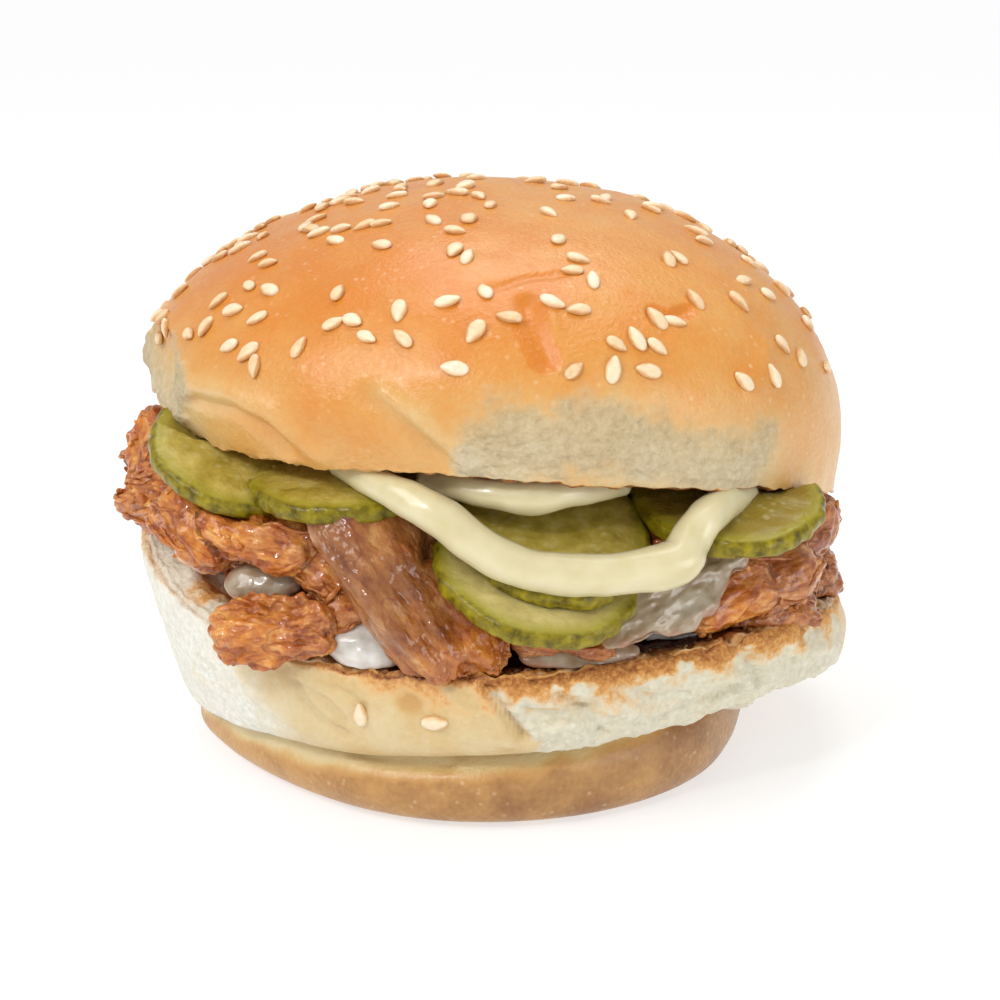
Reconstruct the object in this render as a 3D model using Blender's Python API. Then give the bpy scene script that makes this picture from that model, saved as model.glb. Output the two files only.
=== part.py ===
"""A pulled pork sandwich: a seeded bun, torn from its neighbours, cut and toasted, and filled
with pulled pork, pickle slices, onion and mayonnaise.

Sizes are in millimetres until a mesh is made. The origin is the middle of the heel's flat base,
+Z is up, and the side that the filling spills from faces -Y.
"""

import math
import random

import bmesh
import bpy
from mathutils import Matrix, Vector, noise

MM = 0.001
ORIGIN = Vector((0.0, 0.0, 0.0))

# The gap cut between touching pieces, the gap under a pressed piece, and what counts as flat
GAP = 0.3
PRESSED_GAP = 0.45
FLAT_ANGLE = math.radians(1.5)
SHARP_ANGLE = math.radians(50)

# The bun. Each list gives a value every 45 degrees round the bun, starting at +X.
CROWN_MIDDLE = Vector((2.0, 0.0, 0.0))
CROWN_REACH = (56.4, 56.0, 53.5, 53.5, 53.0, 53.0, 53.5, 56.4)
CROWN_TUCK = (0.8, 2.0, 2.5, 3.0, 3.0, 3.2, 2.0, 1.0)
CROWN_EDGE_HEIGHT = (38.9, 41.0, 46.0, 51.5, 54.5, 54.0, 54.8, 49.5)
CROWN_BELLY_HEIGHT = (49.0, 51.0, 56.0, 60.0, 60.0, 62.0, 63.0, 58.0)
CROWN_FULLNESS = (2.08, 2.08, 1.95, 1.88, 1.83, 1.93, 2.05, 2.08)
CROWN_EDGE_REACH = tuple(reach - tuck for reach, tuck in zip(CROWN_REACH, CROWN_TUCK))
CROWN_TOP = 87.6
CROWN_FACE_HEIGHT = 49.5
DOME_STEPS = 11

# Where the crown was torn from the next bun: the way the torn side faces, and how far out it is
TORN_TURN = math.radians(199)
TORN_DISTANCE = 50.3

HEEL_MIDDLE = Vector((3.5, 0.0, 0.0))
HEEL_REACH = (55.8, 56.0, 52.5, 54.0, 56.2, 54.0, 52.0, 56.5)
HEEL_LIP = (56.2, 54.0, 49.0, 49.0, 50.2, 49.6, 50.5, 55.0)
HEEL_EDGE_HEIGHT = (22.0, 21.5, 24.0, 29.5, 34.0, 27.3, 26.2, 28.5)
HEEL_CREASE_HEIGHT = (10.8, 11.0, 10.0, 8.0, 4.8, 9.0, 12.0, 15.2)
HEEL_FACE_HEIGHT = 24.0
FOOT_REACH = (43.8, 45.0, 45.0, 45.0, 44.6, 43.8, 47.2, 47.6)
CREASE_RADIUS = 43.0
LIP_RING = 7

BUN_SEGMENTS = 44
FACE_SHARES = (0.0, 0.4, 0.7, 0.93)
FACE_POWER = 1.5
EDGE_REACH = 1.03

# Sesame seeds
SEED_LENGTH, SEED_WIDTH, SEED_THICKNESS = 3.7, 2.2, 1.3
SEED_COUNT = 90
SEED_SPACING = 4.4
SEED_TAPER = 0.7
SEED_SUNK = 0.15
SEED_LOWEST = 57.0
SEED_FADE = 12.0
SEED_LEVEL = 0.3
SEED_DRAW = 7

# The two seeds on the heel: angle round it, share of the way up its side, and spin
HEEL_SEEDS = ((math.radians(247), 0.45, math.radians(90)), (math.radians(261), 0.55, 0.0))

# Pickle slices: middle, tilt of the face, radius
PICKLE_THICKNESS = 3.0
PICKLE_DISH = 0.8
PICKLE_SEGMENTS = 22
PICKLES = {
    "pickle_left": (Vector((-32.4, -28.0, 52.6)), Vector((0.24, -0.40, 0.88)), 13.8),
    "pickle_left_front": (Vector((-18.0, -34.5, 50.4)), Vector((-0.03, -0.10, 0.99)), 13.8),
    "pickle_front_low": (Vector((9.9, -45.0, 40.2)), Vector((0.18, -0.42, 0.89)), 14.6),
    "pickle_front_high": (Vector((12.0, -42.0, 45.0)), Vector((0.10, -0.46, 0.88)), 14.2),
    "pickle_right": (Vector((37.1, -35.0, 48.0)), Vector((0.0, -0.26, 0.97)), 14.4),
    "pickle_back_left": (Vector((-26.0, 33.0, 47.0)), Vector((-0.10, 0.30, 0.95)), 14.0),
    "pickle_back_right": (Vector((20.0, 37.0, 41.0)), Vector((0.15, 0.42, 0.89)), 14.4),
}

# Mayonnaise: the middle of each ribbon and its radius, and how finely the line between them is made
RIBBON_PARTS = 2
RIBBONS = {
    "mayonnaise_front": (
        (-18.0, -38.0, 53.0, 1.8), (-13.0, -45.0, 52.6, 2.2), (-7.5, -49.5, 51.3, 2.6),
        (-2.8, -51.5, 49.0, 2.8), (0.9, -52.6, 46.4, 2.8), (4.9, -53.2, 44.2, 2.9),
        (10.0, -53.6, 42.6, 2.9), (16.7, -53.6, 42.0, 2.9), (23.2, -53.0, 42.4, 3.0),
        (28.6, -51.2, 43.0, 3.3), (30.6, -49.0, 45.2, 3.0), (33.0, -46.5, 47.6, 2.8),
        (36.0, -42.0, 48.6, 2.6), (40.0, -36.0, 48.6, 2.0),
    ),
    "mayonnaise_back": (
        (-6.0, -42.0, 52.2, 1.6), (0.5, -46.5, 52.0, 2.0), (8.0, -48.0, 51.3, 2.5),
        (15.0, -46.5, 51.5, 2.0), (22.0, -41.0, 51.0, 1.6),
    ),
}

# How boxy and how uneven a torn piece of pork is
CHUNK_BOXINESS = 0.72
CHUNK_ROUGHNESS = 0.16

# Loose pieces of pork: rounds of subdivision, size, middle, the way the broad face looks,
# and the way the fibres run
PORK_PIECES = {
    "pork_slab": (3, (32.5, 16.4, 9.0), (-7.5, -46.6, 36.9), (0.35, -0.75, 0.5), (0.62, -0.3, -0.72)),
    "pork_piece_left": (2, (16.5, 9.5, 7.5), (-27.0, -45.2, 31.2), (-0.1, -0.5, 0.85), (1.0, -0.05, 0.1)),
    "pork_piece_low": (2, (17.0, 9.0, 6.5), (14.5, -46.0, 31.2), (0.1, -0.6, 0.8), (1.0, 0.05, -0.1)),
}

# Onion: size, curl, middle, facing, direction
ONIONS = {
    "onion_front": ((13.0, 8.5, 5.5), 0.1, (-14.0, -45.4, 29.4), (0.0, -0.6, 0.8), (1.0, 0.0, -0.1)),
    "onion_left": ((12.0, 6.5, 3.2), 0.2, (-29.0, -39.0, 36.0), (-0.1, -0.8, 0.6), (1.0, 0.0, 0.1)),
    "onion_low": ((17.0, 6.0, 3.6), 0.2, (15.8, -47.4, 28.2), (0.0, -0.5, 0.85), (1.0, 0.1, -0.05)),
    "onion_right": ((14.0, 8.0, 4.0), 0.2, (30.0, -37.0, 28.6), (0.1, -0.5, 0.85), (1.0, 0.2, 0.0)),
    "onion_layer": ((27.0, 9.4, 2.6), 0.25, (29.2, -45.2, 36.5), (0.2, -0.8, 0.6), (0.8, 0.35, 0.45)),
}

# The heap's core: its outline, and its rings, each a share of the radius and a level between the cut faces
CORE_MIDDLE = Vector((1.0, 1.0, 0.0))
CORE_REACH = (51.5, 48.0, 46.0, 46.0, 49.5, 44.5, 39.0, 50.0)
CORE_SEGMENTS = 30
CORE_RINGS = (
    (0.0, 0.0), (0.6, 0.0), (0.9, 0.02), (1.0, 0.3),
    (1.02, 0.6), (0.94, 0.93), (0.7, 1.0), (0.0, 1.0),
)

# Pieces that show on the heap: size, middle, facing, direction
HEAP_PIECES = (
    ((21.5, 13.0, 9.0), (-43.4, -21.0, 43.4), (-0.5, -0.5, 0.7), (-0.75, 0.5, 0.05)),
    ((13.0, 10.0, 7.5), (-46.8, -12.0, 46.8), (-0.7, -0.2, 0.6), (-0.2, 0.9, -0.1)),
    ((14.5, 10.0, 8.0), (-39.0, -33.2, 42.4), (-0.3, -0.8, 0.4), (0.6, -0.3, -0.5)),
    ((18.0, 9.0, 8.0), (-29.0, -38.5, 42.5), (-0.2, -0.8, 0.5), (0.9, -0.4, -0.2)),
    ((15.0, 7.0, 6.0), (-20.0, -41.0, 38.5), (0.0, -0.8, 0.5), (0.8, -0.2, -0.5)),
    ((13.0, 7.0, 6.0), (-15.0, -43.0, 33.5), (0.1, -0.7, 0.5), (0.9, 0.0, 0.3)),
    ((16.0, 9.0, 7.0), (45.0, -33.0, 34.5), (0.3, -0.7, 0.6), (0.8, 0.5, 0.1)),
    ((15.0, 12.0, 8.0), (50.8, -17.5, 38.6), (0.7, -0.5, 0.5), (0.3, 0.8, 0.1)),
    ((20.0, 8.0, 6.5), (43.0, -33.0, 28.4), (0.2, -0.8, 0.5), (0.9, 0.4, 0.0)),
    ((12.0, 5.0, 4.0), (52.5, -13.0, 27.6), (0.3, -0.4, 0.8), (0.8, 0.5, -0.2)),
    ((16.0, 10.0, 7.0), (36.0, -39.0, 34.5), (0.2, -0.8, 0.5), (0.9, 0.3, 0.2)),
)
PIECE_DRAW = 3
REAR_PIECES = 11
REAR_TURNS = (math.radians(-22), math.radians(202))
REAR_LEVELS = (0.28, 0.68, 0.45)

CRUST = (0.72, 0.36, 0.12)
PORK = (0.36, 0.14, 0.06)
PICKLE = (0.36, 0.38, 0.08)
ONION = (0.78, 0.76, 0.68)
MAYONNAISE = (0.90, 0.85, 0.62)


def around(values, turn):
    """A smooth closed curve through values spread evenly round the circle, read at angle turn."""
    place = turn / math.tau * len(values) % len(values)
    first = int(place)
    share = place - first
    before, start, end, after = (values[(first + step) % len(values)] for step in (-1, 0, 1, 2))
    slope_in, slope_out = (end - before) / 2, (after - start) / 2
    cubic = 2 * (start - end) + slope_in + slope_out
    square = 3 * (end - start) - 2 * slope_in - slope_out
    return ((cubic * share + square) * share + slope_in) * share + start


def spot(middle, turn, radius, height):
    """The point at this angle, radius and height round a middle."""
    return Vector((middle.x + radius * math.cos(turn), middle.y + radius * math.sin(turn), height))


def material(name, colour, roughness):
    made = bpy.data.materials.new(name)
    made.use_nodes = True
    shader = made.node_tree.nodes["Principled BSDF"]
    shader.inputs["Base Color"].default_value = (*colour, 1.0)
    shader.inputs["Roughness"].default_value = roughness
    shader.inputs["Metallic"].default_value = 0.0
    return made


def new_object(name, mesh, collection, finish):
    piece = bpy.data.objects.new(name, mesh)
    collection.objects.link(piece)
    mesh.materials.clear()
    mesh.materials.append(finish)
    return piece


def mesh_of(name, shape):
    """A mesh in metres from a bmesh in millimetres."""
    bmesh.ops.recalc_face_normals(shape, faces=shape.faces)
    bmesh.ops.triangulate(shape, faces=shape.faces)
    shape.transform(Matrix.Scale(MM, 4))
    mesh = bpy.data.meshes.new(name)
    shape.to_mesh(mesh)
    shape.free()
    mesh.shade_smooth()
    return mesh


def lofted(profile, segments):
    """A ball whose rings are moved onto profile(turn), a list of points from its lower pole to its upper."""
    rings = len(profile(0.0)) - 1
    shape = bmesh.new()
    bmesh.ops.create_uvsphere(shape, u_segments=segments, v_segments=rings, radius=1.0)
    for corner in shape.verts:
        latitude = math.asin(max(-1.0, min(1.0, corner.co.z)))
        ring = round((latitude / math.pi + 0.5) * rings)
        turn = math.atan2(corner.co.y, corner.co.x) % math.tau
        corner.co = profile(0.0 if ring in (0, rings) else turn)[ring]
    return shape


def torn(turn, radius):
    """The crown's radius, cut short on the side where it was pulled from the next bun."""
    toward = math.cos(turn - TORN_TURN)
    return min(radius, TORN_DISTANCE / toward) if toward > 0.5 else radius


def crown_profile(turn):
    """From the middle of the cut face, out to its edge, and up over the dome to the top."""
    reach = around(CROWN_REACH, turn)
    edge_radius = around(CROWN_EDGE_REACH, turn)
    edge = around(CROWN_EDGE_HEIGHT, turn)
    belly = around(CROWN_BELLY_HEIGHT, turn)
    power = 2 / around(CROWN_FULLNESS, turn)
    points = []
    for share in FACE_SHARES:
        height = CROWN_FACE_HEIGHT + (edge - CROWN_FACE_HEIGHT) * share**FACE_POWER
        points.append(spot(CROWN_MIDDLE, turn, edge_radius * share, height))
    points.append(spot(CROWN_MIDDLE, turn, torn(turn, edge_radius), edge + 0.6))
    side = (edge_radius + reach) / 2
    points.append(spot(CROWN_MIDDLE, turn, torn(turn, side), edge + 0.45 * (belly - edge)))
    for step in range(DOME_STEPS + 1):
        rise = math.pi / 2 * step / DOME_STEPS
        radius = reach * max(0.0, math.cos(rise)) ** power
        height = belly + (CROWN_TOP - belly) * math.sin(rise) ** power
        points.append(spot(CROWN_MIDDLE, turn, torn(turn, radius) if step < DOME_STEPS else 0.0, height))
    return points


def heel_side(turn, share):
    """A point on the heel's side, at a share of the way from its lip up to its bulge."""
    profile = heel_profile(turn)
    return profile[LIP_RING].lerp(profile[LIP_RING + 1], share)


def heel_profile(turn):
    """From the middle of the base, out round the foot, in at the crease, and over the lip to the cut face."""
    reach = around(HEEL_REACH, turn)
    lip = around(HEEL_LIP, turn)
    edge = around(HEEL_EDGE_HEIGHT, turn)
    crease = around(HEEL_CREASE_HEIGHT, turn)
    foot_reach = around(FOOT_REACH, turn)
    points = [
        spot(ORIGIN, turn, 0.0, 0.0),
        spot(ORIGIN, turn, foot_reach - 5.5, 0.0),
        spot(ORIGIN, turn, foot_reach - 1.6, 1.6),
        spot(ORIGIN, turn, foot_reach, crease * 0.45),
        spot(ORIGIN, turn, foot_reach - 0.5, crease * 0.75),
        spot(ORIGIN.lerp(HEEL_MIDDLE, 0.3), turn, CREASE_RADIUS, crease),
        spot(ORIGIN.lerp(HEEL_MIDDLE, 0.8), turn, lip - 3.0, crease + 0.8),
        spot(HEEL_MIDDLE, turn, lip, crease + 3.2),
        spot(HEEL_MIDDLE, turn, (lip + reach) / 2 + 0.8, (crease + edge) / 2 + 1.5),
        spot(HEEL_MIDDLE, turn, reach, edge - 1.2),
        spot(HEEL_MIDDLE, turn, reach - 1.0, edge),
    ]
    for share in reversed(FACE_SHARES):
        height = HEEL_FACE_HEIGHT + (edge - HEEL_FACE_HEIGHT) * share**FACE_POWER
        points.append(spot(HEEL_MIDDLE, turn, reach * share, height))
    return points


def share_out(middle, radii, place):
    """The angle of a place round a middle, and how far out it is as a share of the radius there."""
    turn = math.atan2(place.y - middle.y, place.x - middle.x) % math.tau
    return turn, math.hypot(place.x - middle.x, place.y - middle.y) / around(radii, turn)


def under_crown(place):
    """The height of the crown's cut face above a place, and whether the place is within its edge."""
    turn, share = share_out(CROWN_MIDDLE, CROWN_EDGE_REACH, place)
    edge = around(CROWN_EDGE_HEIGHT, turn)
    height = CROWN_FACE_HEIGHT + (edge - CROWN_FACE_HEIGHT) * min(1.0, share) ** FACE_POWER
    return height, share < EDGE_REACH


def on_heel(place):
    """The height of the heel's cut face under a place, and whether the place is within its edge."""
    turn, share = share_out(HEEL_MIDDLE, HEEL_REACH, place)
    edge = around(HEEL_EDGE_HEIGHT, turn)
    height = HEEL_FACE_HEIGHT + (edge - HEEL_FACE_HEIGHT) * min(1.0, share) ** FACE_POWER
    return height, share < EDGE_REACH


def pressed(shape, thickness=0.0):
    """Keeps a shape between the two cut faces. A sheet, its lower corners tagged, stays as thick."""
    for corner in shape.verts:
        ceiling, is_under = under_crown(corner.co)
        floor, is_over = on_heel(corner.co)
        if is_under:
            corner.co.z = min(corner.co.z, ceiling - PRESSED_GAP - (thickness if corner.tag else 0.0))
        if is_over:
            corner.co.z = max(corner.co.z, floor + PRESSED_GAP + (0.0 if corner.tag else thickness))


def pickle_slice(middle, normal, radius, draw):
    """A slice as cut: a flat round, not quite a circle, a little dished, and pressed by the bun."""
    half = PICKLE_THICKNESS / 2
    wave = draw.uniform(0, math.tau)

    def profile(turn):
        out = radius * (1 + 0.03 * math.sin(2 * turn + wave) + 0.012 * math.sin(7 * turn + wave))
        rings = ((0.0, -half), (0.55, -half), (0.95, -half), (1.0, -half * 0.5))
        rings += tuple((share, -height) for share, height in reversed(rings))
        return [spot(ORIGIN, turn, out * share, height - PICKLE_DISH * share**2) for share, height in rings]

    shape = lofted(profile, PICKLE_SEGMENTS)
    for corner in shape.verts:
        corner.tag = corner.co.z < -PICKLE_DISH / 2
    shape.transform(Matrix.Translation(middle) @ facing(normal))
    pressed(shape, PICKLE_THICKNESS)
    return shape


def facing(normal, along=Vector((1.0, 0.0, 0.0))):
    """A rotation that turns +Z to the normal and keeps +X near the given direction."""
    up = normal.normalized()
    side = (along - up * along.dot(up)).normalized()
    return Matrix((side, up.cross(side), up)).transposed().to_4x4()


def ribbon(name, points):
    """A piped ribbon: a round tube along a smooth line, thicker where it piled up."""
    curve = bpy.data.curves.new(name, "CURVE")
    curve.dimensions = "3D"
    curve.bevel_depth = MM
    curve.bevel_resolution = 2
    curve.use_fill_caps = True
    line = smooth_line(points, RIBBON_PARTS)
    spline = curve.splines.new("POLY")
    spline.points.add(len(line) - 1)
    for knot, (x, y, z, radius) in zip(spline.points, line):
        knot.co = (x * MM, y * MM, z * MM, 1.0)
        knot.radius = radius
    return tube_of(curve)


def smooth_line(points, parts):
    """The points with parts - 1 more between each two, on a smooth curve."""

    def between(before, start, end, after, share):
        bend = 2 * before - 5 * start + 4 * end - after
        twist = 3 * (start - end) + after - before
        return start + 0.5 * share * (end - before + share * (bend + share * twist))

    line = []
    last = len(points) - 1
    for first in range(last):
        near = [points[max(0, min(last, first + step))] for step in (-1, 0, 1, 2)]
        for part in range(parts):
            line.append(tuple(between(*values, part / parts) for values in zip(*near)))
    line.append(tuple(points[last]))
    return line


def tube_of(curve):
    """The curve's evaluated tube as one closed mesh."""
    guide = bpy.data.objects.new("guide", curve)
    bpy.context.scene.collection.objects.link(guide)
    bpy.context.view_layer.update()
    evaluated = guide.evaluated_get(bpy.context.evaluated_depsgraph_get())
    mesh = bpy.data.meshes.new_from_object(evaluated)
    shape = bmesh.new()
    shape.from_mesh(mesh)
    bmesh.ops.remove_doubles(shape, verts=shape.verts, dist=0.01 * MM)
    bmesh.ops.recalc_face_normals(shape, faces=shape.faces)
    shape.to_mesh(mesh)
    shape.free()
    bpy.data.objects.remove(guide)
    return mesh


def chunk(size, draw, rounds=2):
    """A torn piece of meat: boxy, longer than wide, grooved along its fibres."""
    shape = bmesh.new()
    bmesh.ops.create_icosphere(shape, subdivisions=rounds, radius=1.0)
    shift = Vector([draw.uniform(-50, 50) for _ in range(3)])
    for corner in shape.verts:
        boxed = Vector([math.copysign(abs(value) ** CHUNK_BOXINESS, value) for value in corner.co])
        fibre = noise.noise(Vector((boxed.x * 0.9, boxed.y * 2.6, boxed.z * 2.6)) + shift)
        lump = noise.noise(boxed * 1.3 - shift)
        boxed *= 1 + CHUNK_ROUGHNESS * (fibre + 1.4 * lump)
        corner.co = Vector([value * side / 2 for value, side in zip(boxed, size)])
    return shape


def laid(shape, middle, normal, along):
    """A shape turned so that its face looks along the normal, moved to its place, and pressed by the bun."""
    shape.transform(Matrix.Translation(Vector(middle)) @ facing(Vector(normal), Vector(along)))
    pressed(shape)
    return shape


def pork_core():
    """The middle of the heap, from cut face to cut face, with an uneven edge."""

    def profile(turn):
        reach = around(CORE_REACH, turn) + 2.2 * math.sin(5 * turn) + 1.4 * math.sin(11 * turn + 1.0)
        points = []
        for share, level in CORE_RINGS:
            place = spot(CORE_MIDDLE, turn, reach * share, 0.0)
            low, high = on_heel(place)[0] + PRESSED_GAP, under_crown(place)[0] - PRESSED_GAP
            place.z = low + (high - low) * level
            points.append(place)
        return points

    return lofted(profile, CORE_SEGMENTS)


def onion_petal(length, width, thickness, curl):
    """A curved piece of an onion layer: thick in the middle, thin at its edges, bent along its width."""
    shape = bmesh.new()
    bmesh.ops.create_icosphere(shape, subdivisions=2, radius=1.0)
    for corner in shape.verts:
        x, y, z = corner.co
        corner.co = Vector((x * length / 2, y * width / 2, z * thickness / 2 - curl * y * y * width / 4))
    return shape


def heap_pieces(draw):
    """The pieces seen from the front, then others by rule round the sides and back of the heap."""
    yield from HEAP_PIECES
    first, last = REAR_TURNS
    for number in range(REAR_PIECES):
        turn = first + (last - first) * (number + draw.uniform(0.2, 0.8)) / REAR_PIECES
        level = REAR_LEVELS[number % len(REAR_LEVELS)]
        place = spot(CORE_MIDDLE, turn, around(CORE_REACH, turn) + draw.uniform(-1.0, 3.5), 0.0)
        place.z = on_heel(place)[0] * (1 - level) + under_crown(place)[0] * level
        out = Vector((math.cos(turn), math.sin(turn), 0.5))
        along = Vector((-math.sin(turn), math.cos(turn), draw.uniform(-0.7, 0.7)))
        size = (draw.uniform(12, 19), draw.uniform(7, 10), draw.uniform(6, 8))
        yield size, place, out, along


def swollen(piece):
    """A copy of the piece's mesh, grown by the gap along its normals."""
    mesh = piece.data.copy()
    shape = bmesh.new()
    shape.from_mesh(mesh)
    shape.normal_update()
    offsets = [corner.normal * GAP * MM for corner in shape.verts]
    for corner, offset in zip(shape.verts, offsets):
        corner.co += offset
    shape.to_mesh(mesh)
    shape.free()
    return mesh


def reaches(piece):
    """The piece's lowest and highest corner."""
    corners = [corner.co for corner in piece.data.vertices]
    low = [min(corner[axis] for corner in corners) for axis in range(3)]
    high = [max(corner[axis] for corner in corners) for axis in range(3)]
    return low, high


def are_close(first, second):
    """True if the pieces' bounding boxes come near each other."""
    low, high = reaches(first)
    other_low, other_high = reaches(second)
    near = 2 * GAP * MM
    gaps = [max(low[axis] - other_high[axis], other_low[axis] - high[axis]) for axis in range(3)]
    return max(gaps) < near


def apply_boolean(piece, operation, other=None, collection=None):
    """Cuts the piece by another, or joins a collection to it, and keeps the result as its mesh."""
    cut = piece.modifiers.new("boolean", "BOOLEAN")
    cut.operation = operation
    if collection:
        cut.operand_type = "COLLECTION"
        cut.collection = collection
        cut.use_self = True
    else:
        cut.object = other
    bpy.context.view_layer.update()
    evaluated = piece.evaluated_get(bpy.context.evaluated_depsgraph_get())
    mesh = bpy.data.meshes.new_from_object(evaluated)
    piece.modifiers.clear()
    piece.data = mesh


def island_round(face, left):
    """The faces joined to a face, taken out of those left."""
    left.remove(face)
    island, front = [], [face]
    while front:
        face = front.pop()
        island.append(face)
        beside = {other for edge in face.edges for other in edge.link_faces} & left
        left -= beside
        front.extend(beside)
    return island


def cleaned(piece):
    """Joins the slivers of each flat face, and drops loose scraps that a cut has left."""
    shape = bmesh.new()
    shape.from_mesh(piece.data)
    bmesh.ops.dissolve_limit(shape, angle_limit=FLAT_ANGLE, verts=shape.verts, edges=shape.edges)
    bmesh.ops.triangulate(shape, faces=shape.faces)
    left = set(shape.faces)
    islands = []
    while left:
        islands.append(island_round(next(iter(left)), left))
    islands.sort(key=len)
    for island in islands[:-1]:
        bmesh.ops.delete(shape, geom=island, context="FACES")
    shape.to_mesh(piece.data)
    shape.free()
    piece.data.shade_smooth()
    piece.data.set_sharp_from_angle(angle=SHARP_ANGLE)


def clear_of(piece, neighbours):
    """Cuts the piece back from each neighbour, so that a gap is left between them."""
    for other in neighbours:
        if not are_close(piece, other):
            continue
        cutter = bpy.data.objects.new("cutter", swollen(other))
        bpy.context.scene.collection.objects.link(cutter)
        apply_boolean(piece, "DIFFERENCE", other=cutter)
        bpy.data.objects.remove(cutter)
    cleaned(piece)


def fuse(piece, shapes, finish):
    """Joins shapes into the piece with one Boolean union."""
    loose = bpy.data.collections.new("loose")
    bpy.context.scene.collection.children.link(loose)
    for number, shape in enumerate(shapes):
        new_object(f"loose_{number}", mesh_of(f"loose_{number}", shape), loose, finish)
    apply_boolean(piece, "UNION", collection=loose)
    for joined in list(loose.objects):
        bpy.data.objects.remove(joined)
    bpy.data.collections.remove(loose)
    cleaned(piece)


def dome_point(turn, share):
    """The point of the crown's dome at a share of its reach."""
    reach = around(CROWN_REACH, turn)
    belly = around(CROWN_BELLY_HEIGHT, turn)
    power = 2 / around(CROWN_FULLNESS, turn)
    rise = math.acos(min(1.0, share ** (1 / power)))
    height = belly + (CROWN_TOP - belly) * math.sin(rise) ** power
    return spot(CROWN_MIDDLE, turn, torn(turn, reach * share), height)


def normal_on(surface, turn, share):
    """The way a surface given as surface(turn, share) looks, away from the bun."""
    step = 0.02
    round_it = surface(turn + step, share) - surface(turn - step, share)
    along_it = surface(turn, share + step / 2) - surface(turn, share - step / 2)
    normal = round_it.cross(along_it).normalized()
    outward = Vector((math.cos(turn), math.sin(turn), 0.3))
    return normal if normal.dot(outward) > 0 else -normal


def crown_seeds():
    """Where the seeds lie on the crown: thick on top, sparse down the sides, none touching."""
    draw = random.Random(SEED_DRAW)
    places = []
    while len(places) < SEED_COUNT:
        turn, share = draw.uniform(0, math.tau), math.sqrt(draw.uniform(0.001, 0.95))
        spin, chance = draw.uniform(0, math.tau), draw.random()
        place, normal = dome_point(turn, share), normal_on(dome_point, turn, share)
        density = min(1.0, (place.z - SEED_LOWEST) / SEED_FADE) / max(1.0, normal.z / SEED_LEVEL)
        if chance < density and all((place - other).length > SEED_SPACING for other, _, _ in places):
            places.append((place, normal, spin))
    return places


def heel_seeds():
    for turn, share, spin in HEEL_SEEDS:
        yield heel_side(turn, share), normal_on(heel_side, turn, share), spin


def seed(place, normal, spin):
    """One sesame seed, drop-shaped and flat, half sunk in the crust."""
    shape = bmesh.new()
    bmesh.ops.create_icosphere(shape, subdivisions=1, radius=0.5)
    for corner in shape.verts:
        x, y, z = corner.co
        narrow = 1.0 - SEED_TAPER * max(0.0, x)
        corner.co = Vector((x * SEED_LENGTH, y * SEED_WIDTH * narrow, z * SEED_THICKNESS * narrow))
    level = Vector((0.0, 0.0, 1.0)).cross(normal).normalized()
    along = Matrix.Rotation(spin, 3, normal) @ level
    shape.transform(Matrix.Translation(place + normal * SEED_SUNK) @ facing(normal, along))
    return shape


def main():
    for leftover in list(bpy.data.objects):
        bpy.data.objects.remove(leftover)
    parts = bpy.data.collections.new("pulled_pork_sandwich")
    bpy.context.scene.collection.children.link(parts)
    crust = material("crust", CRUST, 0.4)
    green = material("pickle", PICKLE, 0.3)
    cream = material("mayonnaise", MAYONNAISE, 0.25)
    meat = material("pork", PORK, 0.35)
    pale = material("onion", ONION, 0.25)
    draw = random.Random(PIECE_DRAW)
    placed = []

    def place(name, mesh, finish):
        """Adds a piece, cut back from all that was placed before it."""
        piece = new_object(name, mesh, parts, finish)
        clear_of(piece, placed)
        placed.append(piece)
        return piece

    heel = place("bun_heel", mesh_of("bun_heel", lofted(heel_profile, BUN_SEGMENTS)), crust)
    crown = place("bun_crown", mesh_of("bun_crown", lofted(crown_profile, BUN_SEGMENTS)), crust)
    for name, (middle, normal, radius) in PICKLES.items():
        place(name, mesh_of(name, pickle_slice(middle, normal, radius, draw)), green)
    for name, (rounds, size, middle, normal, along) in PORK_PIECES.items():
        place(name, mesh_of(name, laid(chunk(size, draw, rounds), middle, normal, along)), meat)
    for name, (size, curl, middle, normal, along) in ONIONS.items():
        place(name, mesh_of(name, laid(onion_petal(*size, curl), middle, normal, along)), pale)
    for name, points in RIBBONS.items():
        place(name, ribbon(name, points), cream)

    heap = new_object("pulled_pork", mesh_of("pulled_pork", pork_core()), parts, meat)
    fuse(heap, [laid(chunk(size, draw), *where) for size, *where in heap_pieces(draw)], meat)
    clear_of(heap, placed)
    fuse(crown, [seed(*where) for where in crown_seeds()], crust)
    fuse(heel, [seed(*where) for where in heel_seeds()], crust)


main()
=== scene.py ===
"""The looks of a pulled pork sandwich: crust, torn crumb, seeds, sauced meat, pickles, onion, mayonnaise.

The shapes follow the solids' own formulas, at a finer scale and with their relief. Sizes are in
millimetres, and are made metres when a mesh is written.
"""

import itertools
import math
import random

import bmesh
import bpy
import numpy as np
from mathutils import Matrix, Vector, noise
from mathutils.bvhtree import BVHTree


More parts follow.
